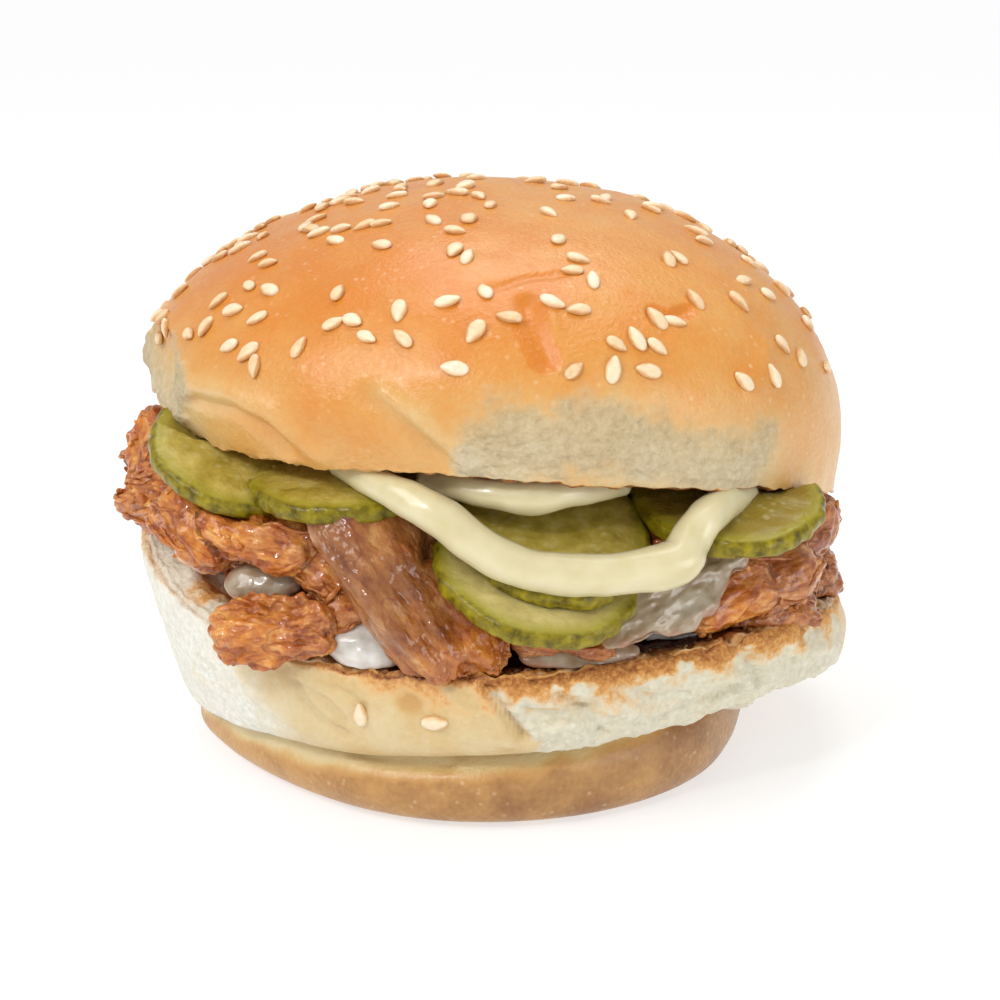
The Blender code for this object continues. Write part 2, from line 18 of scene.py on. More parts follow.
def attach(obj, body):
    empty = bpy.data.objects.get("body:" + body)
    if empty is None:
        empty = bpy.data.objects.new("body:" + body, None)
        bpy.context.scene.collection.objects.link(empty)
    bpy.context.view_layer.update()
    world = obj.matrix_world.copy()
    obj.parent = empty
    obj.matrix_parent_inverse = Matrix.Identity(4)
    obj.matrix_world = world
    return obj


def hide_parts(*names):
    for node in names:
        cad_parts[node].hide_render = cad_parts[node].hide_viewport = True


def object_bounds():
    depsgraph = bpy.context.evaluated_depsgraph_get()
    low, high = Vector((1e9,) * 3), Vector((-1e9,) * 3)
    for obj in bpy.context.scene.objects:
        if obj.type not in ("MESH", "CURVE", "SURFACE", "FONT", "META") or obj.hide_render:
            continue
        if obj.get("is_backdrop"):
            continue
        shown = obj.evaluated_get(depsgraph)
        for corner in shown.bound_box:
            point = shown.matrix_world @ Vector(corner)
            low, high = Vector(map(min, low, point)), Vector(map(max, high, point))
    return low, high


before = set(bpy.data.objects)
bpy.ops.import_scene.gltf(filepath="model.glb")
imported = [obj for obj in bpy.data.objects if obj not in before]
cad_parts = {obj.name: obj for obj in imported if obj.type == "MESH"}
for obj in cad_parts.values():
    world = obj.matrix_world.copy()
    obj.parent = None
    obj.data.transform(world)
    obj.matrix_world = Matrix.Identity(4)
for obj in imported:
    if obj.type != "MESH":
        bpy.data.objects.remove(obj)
cad_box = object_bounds()

MM = 0.001

# The camera: its place, how far it looks down, and its focal length in pixels of the photograph
EYE = Vector((4.7, -310.0, 130.0))
PITCH = math.radians(16.8)
FOCAL_PIXELS = 2004.0
PHOTO_SIDE = 1000
SENSOR = 36.0

# The crown, each list giving a value every 45 degrees round it, from +X
CROWN_MIDDLE = Vector((2.0, 0.0, 0.0))
CROWN_REACH = (56.4, 56.0, 53.5, 53.5, 53.0, 53.0, 53.5, 56.4)
CROWN_TUCK = (0.8, 2.0, 2.5, 3.0, 3.0, 3.2, 2.0, 1.0)
CROWN_EDGE_HEIGHT = (38.9, 41.0, 46.0, 51.5, 54.5, 54.0, 54.8, 49.5)
CROWN_BELLY_HEIGHT = (49.0, 51.0, 56.0, 60.0, 60.0, 62.0, 63.0, 58.0)
CROWN_FULLNESS = (2.08, 2.08, 1.95, 1.88, 1.83, 1.93, 2.05, 2.08)
CROWN_EDGE_REACH = tuple(reach - tuck for reach, tuck in zip(CROWN_REACH, CROWN_TUCK))
CROWN_TOP = 87.6
CROWN_FACE_HEIGHT = 49.5
DOME_STEPS = 11
TORN_TURN = math.radians(199)
TORN_DISTANCE = 50.3
DEEP_TURN = math.radians(222)

# The heel
ORIGIN = Vector((0.0, 0.0, 0.0))
HEEL_MIDDLE = Vector((3.5, 0.0, 0.0))
HEEL_REACH = (55.8, 56.0, 52.5, 54.0, 56.2, 54.0, 52.0, 56.5)
HEEL_LIP = (56.2, 54.0, 49.0, 49.0, 50.2, 49.6, 50.5, 55.0)
HEEL_EDGE_HEIGHT = (22.0, 21.5, 24.0, 29.5, 34.0, 27.3, 26.2, 28.5)
HEEL_CREASE_HEIGHT = (10.8, 11.0, 10.0, 8.0, 4.8, 9.0, 12.0, 15.2)
HEEL_FACE_HEIGHT = 24.0
FOOT_REACH = (43.8, 45.0, 45.0, 45.0, 44.6, 43.8, 47.2, 47.6)
CREASE_RADIUS = 43.0
FACE_SHARES = (0.0, 0.4, 0.7, 0.93)
FACE_POWER = 1.5
EDGE_REACH = 1.03
PRESSED_GAP = 0.45

# How finely each stretch between two knots of a profile is made, and which knots are crisp corners
CROWN_RINGS = (5, 7, 9, 16) + (15, 15) + (14,) * DOME_STEPS
CROWN_CORNERS = (0, 4, 17)
CROWN_FACE_LEVEL = sum(CROWN_RINGS[:4])
CROWN_SEGMENTS = 410
HEEL_RINGS = (4, 6, 9, 8, 8) + (9, 10, 28, 28, 7) + (22, 16, 8, 6)
HEEL_CORNERS = (0, 1, 5, 10, 14)
HEEL_CREASE_LEVEL = sum(HEEL_RINGS[:5])
HEEL_FACE_LEVEL = sum(HEEL_RINGS[:10])
HEEL_SEGMENTS = 520

# Folds, ridges and dents that the photograph shows, as pixels of it: line, width, rise
LEFT_FOLD = ((189, 384), (230, 394), (269, 412), (295, 434), (320, 456))
FRONT_FOLD = ((383, 392), (415, 417), (448, 445), (468, 465))
CROWN_MARKS = (
    (LEFT_FOLD, 1.7, 1.0),
    (((192, 399), (232, 409), (264, 427), (286, 449)), 1.3, -0.95),
    (FRONT_FOLD, 1.1, 1.15),
    (((370, 400), (402, 427), (432, 455)), 1.8, -0.8),
    (((486, 290), (508, 285), (528, 278), (554, 276), (579, 270)), 0.8, -0.4),
    (((528, 304), (536, 332), (548, 362)), 1.5, -0.9),
    (((546, 306), (556, 340), (564, 362)), 1.1, 0.4),
    (((656, 312), (672, 317), (688, 309)), 1.0, -0.6),
    (((767, 345), (763, 368), (752, 392)), 1.8, 0.5),
)
# Folds whose crests are pale, as line, width and strength, and dents that shine amber, as line and width
PALE_FOLDS = ((FRONT_FOLD, 1.6, 1.0), (LEFT_FOLD, 1.4, 0.6))
AMBER_MARKS = (
    (((526, 304), (532, 330), (544, 358)), 2.4),
    (((656, 310), (672, 316), (690, 308)), 1.5),
    (((508, 284), (575, 272)), 0.9),
)
HEEL_MARKS = (
    (((283, 671), (299, 697), (324, 722), (344, 735)), 1.0, -1.0),
    (((296, 686), (324, 704), (342, 722)), 0.9, -0.8),
    (((337, 691), (362, 707)), 0.9, -0.5),
    (((290, 676), (312, 702), (336, 722)), 1.1, 0.6),
    (((235, 640), (250, 690), (300, 726)), 2.2, 0.7),
    (((402, 690), (420, 712), (444, 736)), 2.0, -0.5),
    (((455, 694), (466, 716), (470, 736)), 1.4, 0.5),
    (((350, 752), (390, 762), (450, 765)), 0.7, -0.5),
    (((488, 684), (498, 702), (510, 720), (524, 740)), 0.7, -1.6),
    (((480, 684), (490, 704), (500, 722), (508, 742)), 1.3, 1.0),
    (((530, 716), (560, 722), (590, 714)), 1.2, -1.3),
    (((560, 700), (584, 716), (600, 736)), 1.0, -1.4),
    (((620, 690), (650, 704), (690, 700)), 1.3, -1.3),
    (((660, 720), (700, 706), (740, 690)), 1.2, -1.3),
    (((735, 640), (756, 662), (764, 684)), 1.2, -1.5),
    (((790, 640), (806, 650), (828, 648)), 1.2, 0.7),
)
# Two small spots of golden crust, on the heel's side and on its cut face
HEEL_GOLD_SPOT = (410, 702)
FACE_GOLD_SPOT = (222, 604)
# Broad swellings of each body: height, width, seed
CROWN_WAVES = ((0.5, 24.0, 2), (0.22, 9.0, 3), (0.05, 3.0, 5))
HEEL_WAVES = ((0.4, 20.0, 2), (0.18, 7.0, 3))
# A pocket in the crown's torn face: its spread in radians, its height, that height's spread, its depth
POCKET_SPREAD, POCKET_HEIGHT, POCKET_RISE, POCKET_DEPTH = 0.19, 66.0, 6.5, 1.7

# The pale patch where the crown was pulled from its neighbour, as pixels of the photograph, and its
# half width. Another by rule behind: its middle angle, half its spread, its height, its half width.
PATCH_LINE = ((482, 466), (520, 450), (575, 436), (650, 446), (740, 464))
PATCH_WIDTH = 6.8
PATCH_START = 266.0
REAR_PATCH = (94.0, 26.0, 52.0, 6.5)
# Where the heel's side keeps its smooth skin: first and last angle, and how far each end fades
HEEL_SKINS = ((225.0, 270.0, 9.0, 1.0), (340.0, 372.0, 5.0, 5.0), (66.0, 148.0, 3.0, 3.0))
SKIN_SLANT = 0.6
# Parts of the crown and the heel by angle in degrees: first, last, how far each end fades
PALE_CROWN_SIDE = (296, 372, 16)
TOASTED_EDGE = (265, 340, 8)
FRESH_EDGE = (175, 262, 10)
CALM_CRUMB = (165, 236, 10)
SWOLLEN_FACE = (168, 240, 14)
PALE_FACE = (160, 244, 14)
GOLD_FACE = (326, 400, 16)
THIN_TOAST = (242, 275, 6)
# How far the toasting runs down the heel's side, every 45 degrees from +X
TOAST_DEPTH = (4.0, 1.8, 1.4, 1.6, 1.8, 0.7, 5.2, 6.0)
TOAST_STRENGTH = (0.20, 0.50, 0.60, 0.55, 0.30, 0.10, 0.52, 0.46)
FACE_TOAST = (0.30, 0.80, 0.90, 0.60, 0.00, 0.00, 0.85, 0.72)

# Sesame seeds
SEED_LENGTH, SEED_WIDTH, SEED_THICKNESS = 3.7, 2.2, 1.3
SEED_COUNT = 196
SEED_SPACING = 4.4
CLOSE_SPACING = 2.4
SOLID_SEEDS = 90
CROWDED_TURN = math.radians(205)
SPARSE_SHARE = 0.45
SEED_TAPER = 0.7
SEED_LOWEST = 57.0
SEED_FADE = 12.0
SEED_LEVEL = 0.3
SEED_DRAW = 7
SEED_LIFT = 0.25
HEEL_SEED_PIXELS = (((361, 714), 90.0), ((435, 722), 8.0))

# Pickle slices: middle, tilt of the face, radius
PICKLES = {
    "pickle_left": (Vector((-32.4, -28.0, 52.6)), Vector((0.24, -0.40, 0.88)), 13.8),
    "pickle_left_front": (Vector((-18.0, -34.5, 50.4)), Vector((-0.03, -0.10, 0.99)), 13.8),
    "pickle_front_low": (Vector((9.9, -45.0, 40.2)), Vector((0.18, -0.42, 0.89)), 14.6),
    "pickle_front_high": (Vector((12.0, -42.0, 45.0)), Vector((0.10, -0.46, 0.88)), 14.2),
    "pickle_right": (Vector((37.1, -35.0, 48.0)), Vector((0.0, -0.26, 0.97)), 14.4),
    "pickle_back_left": (Vector((-26.0, 33.0, 47.0)), Vector((-0.10, 0.30, 0.95)), 14.0),
    "pickle_back_right": (Vector((20.0, 37.0, 41.0)), Vector((0.15, 0.42, 0.89)), 14.4),
}

# Mayonnaise: the middle of each ribbon and its radius
RIBBONS = {
    "mayonnaise_front": (
        (-18.0, -38.0, 53.0, 1.8), (-13.0, -45.0, 52.6, 2.2), (-7.5, -49.5, 51.3, 2.6),
        (-2.8, -51.5, 49.0, 2.8), (0.9, -52.6, 46.4, 2.8), (4.9, -53.2, 44.2, 2.9),
        (10.0, -53.6, 42.6, 2.9), (16.7, -53.6, 42.0, 2.9), (23.2, -53.0, 42.4, 3.0),
        (28.6, -51.2, 43.0, 3.3), (30.6, -49.0, 45.2, 3.0), (33.0, -46.5, 47.6, 2.8),
        (36.0, -42.0, 48.6, 2.6), (40.0, -36.0, 48.6, 2.0),
    ),
    "mayonnaise_back": (
        (-6.0, -42.0, 52.2, 1.6), (0.5, -46.5, 52.0, 2.0), (8.0, -48.0, 51.3, 2.5),
        (15.0, -46.5, 51.5, 2.0), (22.0, -41.0, 51.0, 1.6),
    ),
}
RIBBON_PARTS = 8
# How much paler the flesh of some slices is, and how much painted shade darkens the flesh of slices that the
# crown shades
PALE_SLICES = {"pickle_front_low": 0.34}
DEEP_SLICES = {"pickle_right": 0.75, "pickle_front_high": 0.1}

# Loose pork: size, middle, the way the broad face looks, and the way the fibres run
PORK_PIECES = {
    "pork_slab": ((32.5, 16.4, 9.0), (-7.5, -46.6, 36.9), (0.35, -0.75, 0.5), (0.62, -0.3, -0.72)),
    "pork_piece_left": ((16.5, 9.5, 7.5), (-27.0, -45.2, 31.2), (-0.1, -0.5, 0.85), (1.0, -0.05, 0.1)),
    "pork_piece_low": ((17.0, 9.0, 6.5), (14.5, -46.0, 31.2), (0.1, -0.6, 0.8), (1.0, 0.05, -0.1)),
}
CHUNK_ROUNDS = {"pork_slab": 7, "pork_piece_left": 6, "pork_piece_low": 6}
CHUNK_RELIEF = {"pork_slab": (0.25, 0.12), "pork_piece_left": (0.7, 0.55), "pork_piece_low": (0.7, 0.4)}
CHUNK_BOXINESS = 0.72
CHUNK_ROUGHNESS = 0.16

# Onion: size, curl, middle, facing, direction
ONIONS = {
    "onion_front": ((13.0, 8.5, 5.5), 0.1, (-14.0, -45.4, 29.4), (0.0, -0.6, 0.8), (1.0, 0.0, -0.1)),
    "onion_left": ((12.0, 6.5, 3.2), 0.2, (-29.0, -39.0, 36.0), (-0.1, -0.8, 0.6), (1.0, 0.0, 0.1)),
    "onion_low": ((17.0, 6.0, 3.6), 0.2, (15.8, -47.4, 28.2), (0.0, -0.5, 0.85), (1.0, 0.1, -0.05)),
    "onion_right": ((14.0, 8.0, 4.0), 0.2, (30.0, -37.0, 28.6), (0.1, -0.5, 0.85), (1.0, 0.2, 0.0)),
    "onion_layer": ((27.0, 9.4, 2.6), 0.25, (29.2, -45.2, 36.5), (0.2, -0.8, 0.6), (0.8, 0.35, 0.45)),
}

SAUCED_ONIONS = ("onion_layer", "onion_left", "onion_low")
ONION_EDGE = {
    "onion_layer": 0.30, "onion_left": 0.12, "onion_low": 0.12, "onion_right": 0.1, "onion_front": 0.06,
}

# The heap: its outline, and its pieces as size, middle, facing, direction
CORE_MIDDLE = Vector((1.0, 1.0, 0.0))
CORE_REACH = (51.5, 48.0, 46.0, 46.0, 49.5, 44.5, 39.0, 50.0)
HEAP_PIECES = (
    ((21.5, 13.0, 9.0), (-43.4, -21.0, 43.4), (-0.5, -0.5, 0.7), (-0.75, 0.5, 0.05)),
    ((13.0, 10.0, 7.5), (-46.8, -12.0, 46.8), (-0.7, -0.2, 0.6), (-0.2, 0.9, -0.1)),
    ((14.5, 10.0, 8.0), (-39.0, -33.2, 42.4), (-0.3, -0.8, 0.4), (0.6, -0.3, -0.5)),
    ((18.0, 9.0, 8.0), (-29.0, -38.5, 42.5), (-0.2, -0.8, 0.5), (0.9, -0.4, -0.2)),
    ((15.0, 7.0, 6.0), (-20.0, -41.0, 38.5), (0.0, -0.8, 0.5), (0.8, -0.2, -0.5)),
    ((13.0, 7.0, 6.0), (-15.0, -43.0, 33.5), (0.1, -0.7, 0.5), (0.9, 0.0, 0.3)),
    ((16.0, 9.0, 7.0), (45.0, -33.0, 34.5), (0.3, -0.7, 0.6), (0.8, 0.5, 0.1)),
    ((15.0, 12.0, 8.0), (50.8, -17.5, 38.6), (0.7, -0.5, 0.5), (0.3, 0.8, 0.1)),
    ((20.0, 8.0, 6.5), (43.0, -33.0, 28.4), (0.2, -0.8, 0.5), (0.9, 0.4, 0.0)),
    ((12.0, 5.0, 4.0), (52.5, -13.0, 27.6), (0.3, -0.4, 0.8), (0.8, 0.5, -0.2)),
    ((16.0, 10.0, 7.0), (36.0, -39.0, 34.5), (0.2, -0.8, 0.5), (0.9, 0.3, 0.2)),
)
ORANGE_SPOT = (36.0, -43.0, 35.5)
PIECE_DRAW = 3
REAR_PIECES = 11
REAR_TURNS = (math.radians(-22), math.radians(202))
REAR_LEVELS = (0.28, 0.68, 0.45)
HEAP_VOXEL = 0.55
SLICE_VOXEL = 0.45

# Loose strands and scraps of meat, and crumbs on the toasted rim, with their least and greatest sizes
SHRED_COUNT = 220
SHRED_LENGTH, SHRED_RADIUS, SHRED_STEPS = (4, 11), (0.22, 0.46), 9
SCRAP_COUNT = 460
SCRAP_SIZE = (0.3, 0.8)
SCRAP_SHAPE = ((0.9, 1.8), (0.6, 1.0), (0.5, 0.9))
CRUMB_COUNT = 300
CRUMB_SIZE = (0.15, 0.45)
CRUMB_SHAPE = ((0.8, 1.6), (0.7, 1.1), (0.6, 1.0))
CRUMB_REACH = (0.91, 0.975)
# Where the rim has no crumbs: between two angles, and near +X as the cosine of an angle
CLEAN_TURNS = (math.radians(165), math.radians(245))
PALE_END = math.cos(math.radians(24))

# Crust colours from unbaked to deeply baked, each with its place on the bake field
CROWN_CRUST = (
    (0.0, (0.74, 0.58, 0.34)), (0.22, (0.69, 0.475, 0.215)), (0.46, (0.67, 0.365, 0.110)),
    (0.72, (0.66, 0.285, 0.052)), (1.0, (0.63, 0.200, 0.012)),
)
HEEL_CRUST = (
    (0.0, (0.68, 0.55, 0.31)), (0.25, (0.63, 0.45, 0.20)), (0.5, (0.57, 0.33, 0.11)),
    (0.75, (0.50, 0.26, 0.075)), (1.0, (0.28, 0.12, 0.03)),
)

# Meat colours from its hollows to its pale fibres, where the sauce is brown and where it is orange
PORK_BROWNS = (
    (0.05, (0.11, 0.024, 0.007)), (0.35, (0.30, 0.090, 0.028)),
    (0.65, (0.52, 0.215, 0.080)), (0.95, (0.78, 0.47, 0.24)),
)
PORK_ORANGES = (
    (0.05, (0.18, 0.024, 0.003)), (0.35, (0.44, 0.100, 0.009)),
    (0.65, (0.66, 0.225, 0.022)), (0.95, (0.88, 0.48, 0.12)),
)
SLAB_BROWNS = (
    (0.05, (0.11, 0.026, 0.006)), (0.35, (0.23, 0.070, 0.016)),
    (0.65, (0.33, 0.125, 0.034)), (0.95, (0.50, 0.25, 0.09)),
)

# Each bread's crumb, light and dark, and the colours laid over crust and crumb
CROWN_CRUMB = ((0.61, 0.525, 0.365), (0.455, 0.36, 0.225))
HEEL_CRUMB = ((0.82, 0.81, 0.735), (0.66, 0.635, 0.54))
BUTTERY_CRUMB = (0.80, 0.68, 0.44)
DRIED_CRUMB = (0.86, 0.82, 0.71)
BLISTER = (0.86, 0.66, 0.40)
TOASTING = (
    (0.05, (0.80, 0.58, 0.30)), (0.30, (0.66, 0.34, 0.10)), (0.52, (0.42, 0.16, 0.035)),
    (0.74, (0.17, 0.05, 0.014)), (0.95, (0.05, 0.016, 0.008)),
)
SAUCE = (0.070, 0.010, 0.004)

# Colours of the other pieces: a single colour, or stops that are each a place and a colour
SEED_COLOURS = ((0.0, (0.84, 0.73, 0.54)), (0.5, (0.78, 0.56, 0.32)), (1.0, (0.58, 0.29, 0.10)))
PORK_FAT = (0.80, 0.50, 0.28)
PORK_VEIN = (0.16, 0.022, 0.006)
PICKLE_FLESH = ((0.25, (0.30, 0.22, 0.022)), (0.5, (0.44, 0.34, 0.06)), (0.75, (0.60, 0.49, 0.15)))
PALE_FLESH = (0.60, 0.53, 0.30)
# Painted shade: the dark flesh laid on slices that the crown shades
DEEP_FLESH = (0.20, 0.135, 0.012)
PICKLE_PIP = (0.70, 0.62, 0.34)
UNDER_RIND = (0.33, 0.29, 0.02)
PICKLE_RIND = ((0.3, (0.085, 0.062, 0.002)), (0.7, (0.33, 0.265, 0.008)))
PALE_ONION = ((0.3, (0.48, 0.45, 0.39)), (0.5, (0.68, 0.66, 0.61)), (0.7, (0.84, 0.83, 0.80)))
SAUCED_ONION = ((0.3, (0.24, 0.15, 0.08)), (0.5, (0.37, 0.29, 0.19)), (0.7, (0.52, 0.46, 0.35)))
ONION_STAIN = (0.34, 0.13, 0.06)
MAYONNAISE = ((0.3, (0.62, 0.55, 0.31)), (0.7, (0.70, 0.635, 0.41)))
CRUMBS = ((0.35, (0.13, 0.04, 0.012)), (0.55, (0.45, 0.19, 0.05)), (0.7, (0.78, 0.55, 0.28)))

# How far colours scatter under each surface, in shares of red, green and blue
BREAD_SCATTER = (1.0, 0.55, 0.25)
MEAT_SCATTER = (1.0, 0.35, 0.15)
PICKLE_SCATTER = (1.0, 0.8, 0.25)
ONION_SCATTER = (1.0, 0.85, 0.7)
MAYONNAISE_SCATTER = (1.0, 0.85, 0.5)

# Lights, in metres: place, side and power of each lamp, and the sun's direction, strength and spread
LAMPS = {
    "overhead": ((0.03, 0.14, 0.55), 0.34, 1.2),
    "left_glint": ((-0.22, -0.45, 0.42), 0.05, 0.65),
    "right_fill": ((0.42, -0.36, 0.16), 0.25, 0.70),
}
LAMP_TARGET = (0.0, 0.0, 0.045)
SUN_PLACE, SUN_STRENGTH, SUN_SPREAD = (-0.75, -0.55, 0.85), 1.22, math.radians(34)
SKY_STRENGTH = 0.54
FLOOR_REACH, FLOOR_GREY, FLOOR_GLOW = 6.0, (0.45, 0.45, 0.45), 0.62

NOISE_CELLS = 4096


def random_directions():
    made = np.random.default_rng(11).normal(size=(NOISE_CELLS, 3))
    return made / np.linalg.norm(made, axis=1, keepdims=True)


DIRECTIONS = random_directions()


def bumps(places, size, seed=0):
    """Smooth random values, about -1 to 1, with bumps about as wide as size. Size may differ by axis."""
    scaled = places / size + seed * 17.31
    cell = np.floor(scaled).astype(np.int64)
    inside = scaled - cell
    fade = inside * inside * inside * (inside * (inside * 6 - 15) + 10)
    total = np.zeros(len(places))
    for corner in itertools.product((0, 1), repeat=3):
        step = np.array(corner)
        x, y, z = (cell + step).T
        picked = DIRECTIONS[(x * 73856093 ^ y * 19349663 ^ z * 83492791) % NOISE_CELLS]
        weight = np.prod(np.where(step, fade, 1 - fade), axis=1)
        total += weight * np.sum(picked * (inside - step), axis=1)
    return total * 1.7


def layered(places, size, layers=3, keep=0.5, seed=0):
    """Bumps with finer bumps on them."""
    size = np.asarray(size, float)
    total, weight = 0.0, 1.0
    for layer in range(layers):
        total = total + weight * bumps(places, size / 2**layer, seed + layer)
        weight *= keep
    return total


def ridged(places, size, layers=3, keep=0.5, seed=0):
    """Sharp crests between round hollows, from 0 to about 1."""
    size = np.asarray(size, float)
    total, weight, most = 0.0, 1.0, 0.0
    for layer in range(layers):
        total = total + weight * (1 - np.abs(bumps(places, size / 2**layer, seed + layer)) * 2)
        most += weight
        weight *= keep
    return np.clip(total / most, 0, 1)


def ease(values, low, high):
    """A smooth step from 0 at low to 1 at high."""
    share = np.clip((values - low) / (high - low), 0, 1)
    return share * share * (3 - 2 * share)


def window(turns, first, last, fade):
    """1 between two angles in degrees, falling to 0 outside them."""
    half = (last - first) / 2
    off = np.abs((np.degrees(turns) - first - half + 180) % 360 - 180)
    return 1 - ease(off, half - fade, half + fade)


def curve_between(before, start, end, after, share):
    """A smooth curve from start to end, which comes from the value before and heads for the one after."""
    bend = 2 * before - 5 * start + 4 * end - after
    twist = 3 * (start - end) + after - before
    return start + 0.5 * share * (end - before + share * (bend + share * twist))


def around(values, turns):
    """A smooth closed curve through values spread evenly round the circle, read at each angle."""
    values = np.asarray(values, float)
    place = np.asarray(turns) / math.tau * len(values) % len(values)
    first = place.astype(int)
    near = [values[(first + step) % len(values)] for step in (-1, 0, 1, 2)]
    return curve_between(*near, place - first)


def spots(middle, turns, radii, heights):
    """The points at these angles, radii and heights round a middle."""
    x = middle.x + radii * np.cos(turns)
    return np.stack((x, middle.y + radii * np.sin(turns), heights + 0 * x), axis=-1)


def torn(turns, radii):
    """The crown's radius, cut short on the side where it was pulled from the next bun."""
    toward = np.cos(turns - TORN_TURN)
    return np.where(toward > 0.5, np.minimum(radii, TORN_DISTANCE / np.maximum(toward, 0.5)), radii)


def face_knots(turns, middle, reach, edge, middle_height):
    """Knots on a cut face, from its middle towards its edge."""
    knots = []
    for share in FACE_SHARES:
        height = middle_height + (edge - middle_height) * share**FACE_POWER
        knots.append(spots(middle, turns, reach * share, height))
    return knots


def crown_knots(turns):
    reach = around(CROWN_REACH, turns)
    edge_radius = around(CROWN_EDGE_REACH, turns)
    edge = around(CROWN_EDGE_HEIGHT, turns)
    belly = around(CROWN_BELLY_HEIGHT, turns)
    power = 2 / around(CROWN_FULLNESS, turns)
    knots = face_knots(turns, CROWN_MIDDLE, edge_radius, edge, CROWN_FACE_HEIGHT)
    knots.append(spots(CROWN_MIDDLE, turns, torn(turns, edge_radius), edge + 0.3))
    side = torn(turns, (edge_radius + reach) / 2)
    knots.append(spots(CROWN_MIDDLE, turns, side, edge + 0.45 * (belly - edge)))
    for step in range(DOME_STEPS):
        rise = math.pi / 2 * step / DOME_STEPS
        radius = torn(turns, reach * math.cos(rise) ** power)
        height = belly + (CROWN_TOP - belly) * math.sin(rise) ** power
        knots.append(spots(CROWN_MIDDLE, turns, radius, height))
    return [*knots, spots(CROWN_MIDDLE, turns, 0 * turns, CROWN_TOP)]


def heel_knots(turns):
    reach = around(HEEL_REACH, turns)
    lip = around(HEEL_LIP, turns)
    edge = around(HEEL_EDGE_HEIGHT, turns)
    crease = around(HEEL_CREASE_HEIGHT, turns)
    foot_reach = around(FOOT_REACH, turns)
    return [
        spots(ORIGIN, turns, 0 * turns, 0.0),
        spots(ORIGIN, turns, foot_reach - 5.5, 0.0),
        spots(ORIGIN, turns, foot_reach - 1.6, 1.6),
        spots(ORIGIN, turns, foot_reach, crease * 0.45),
        spots(ORIGIN, turns, foot_reach - 0.5, crease * 0.75),
        spots(ORIGIN.lerp(HEEL_MIDDLE, 0.3), turns, CREASE_RADIUS + 0 * turns, crease),
        spots(ORIGIN.lerp(HEEL_MIDDLE, 0.8), turns, lip - 3.0, crease + 0.8),
        spots(HEEL_MIDDLE, turns, lip, crease + 3.2),
        spots(HEEL_MIDDLE, turns, (lip + reach) / 2 + 0.8, (crease + edge) / 2 + 1.5),
        spots(HEEL_MIDDLE, turns, reach, edge - 1.2),
        spots(HEEL_MIDDLE, turns, reach - 1.0, edge),
        *reversed(face_knots(turns, HEEL_MIDDLE, reach, edge, HEEL_FACE_HEIGHT)),
    ]


def read(mesh):
    """The mesh's corners in millimetres."""
    flat = np.empty(len(mesh.vertices) * 3, np.float32)
    mesh.vertices.foreach_get("co", flat)
    return flat.reshape(-1, 3).astype(float) / MM


def write(mesh, places):
    mesh.vertices.foreach_set("co", (places * MM).astype(np.float32).ravel())
    mesh.update()


def normals_of(mesh):
    flat = np.empty(len(mesh.vertices) * 3, np.float32)
    mesh.vertices.foreach_get("normal", flat)
    return flat.reshape(-1, 3).astype(float)


def raise_by(mesh, rise):
    """Moves each corner out along its normal."""
    write(mesh, read(mesh) + normals_of(mesh) * rise[:, None])


def keep_field(mesh, name, values):
    """Keeps one value, or one vector, for each corner, which the materials read by name."""
    kind = "FLOAT" if values.ndim == 1 else "FLOAT_VECTOR"
    made = mesh.attributes.new(name, kind, "POINT")
    made.data.foreach_set("value" if values.ndim == 1 else "vector", values.astype(np.float32).ravel())


def mesh_from(name, places, faces):
    """A mesh from places in millimetres and, for each face, the numbers of its corners."""
    mesh = bpy.data.meshes.new(name)
    mesh.from_pydata((places * MM).tolist(), [], faces)
    mesh.update()
    return mesh


def round_faces(rings, segments):
    """The faces of a closed round body, whose corners are a lower pole, rings, and an upper pole."""

    def corner(ring, segment):
        return 1 + (ring - 1) * segments + segment % segments

    faces = []
    for segment in range(segments):
        beside = segment + 1
        faces.append((0, corner(1, beside), corner(1, segment)))
        for ring in range(1, rings - 1):
            above = ring + 1
            lower = (corner(ring, segment), corner(ring, beside))
            faces.append((*lower, corner(above, beside), corner(above, segment)))
        faces.append((corner(rings - 1, segment), corner(rings - 1, beside), corner(rings, 0)))
    return faces


def swept(name, knots_at, rings, corners, segments):
    """A round body: its rings lie on smooth curves through the knots, which break at the corner knots."""
    whole = sum(rings)
    turns = np.concatenate(([0.0], np.tile(np.arange(segments) / segments * math.tau, whole - 1), [0.0]))
    levels = np.concatenate(([0], np.repeat(np.arange(1, whole), segments), [whole]))
    knots = np.array(knots_at(turns))
    place = np.interp(levels, np.cumsum((0,) + rings), np.arange(len(rings) + 1))
    first = np.clip(place.astype(int), 0, len(knots) - 2)
    share = (place - first)[:, None]
    corner = np.clip(np.searchsorted(corners, first, side="right") - 1, 0, len(corners) - 2)
    lowest, highest = np.array(corners)[corner], np.array(corners)[corner + 1]
    pick = np.arange(len(turns))
    before, start = knots[np.maximum(first - 1, lowest), pick], knots[first, pick]
    end, after = knots[first + 1, pick], knots[np.minimum(first + 2, highest), pick]
    places = curve_between(before, start, end, after, share)
    return mesh_from(name, places, round_faces(whole, segments)), turns, levels


def tree_of(mesh):
    """The mesh's surface in millimetres, for finding places on it."""
    faces = [tuple(face.vertices) for face in mesh.polygons]
    return BVHTree.FromPolygons([Vector(place) for place in read(mesh)], faces)


def seen_spot(surface, pixel):
    """The place on a surface that the camera sees at a pixel of the photograph."""
    right = (pixel[0] - PHOTO_SIDE / 2) / FOCAL_PIXELS
    up = (PHOTO_SIDE / 2 - pixel[1]) / FOCAL_PIXELS
    ahead, lift = math.cos(PITCH), math.sin(PITCH)
    found = surface.ray_cast(EYE, Vector((right, ahead + up * lift, up * ahead - lift)).normalized())[0]
    if found is None:
        raise ValueError(f"no surface at pixel {pixel}")
    return found


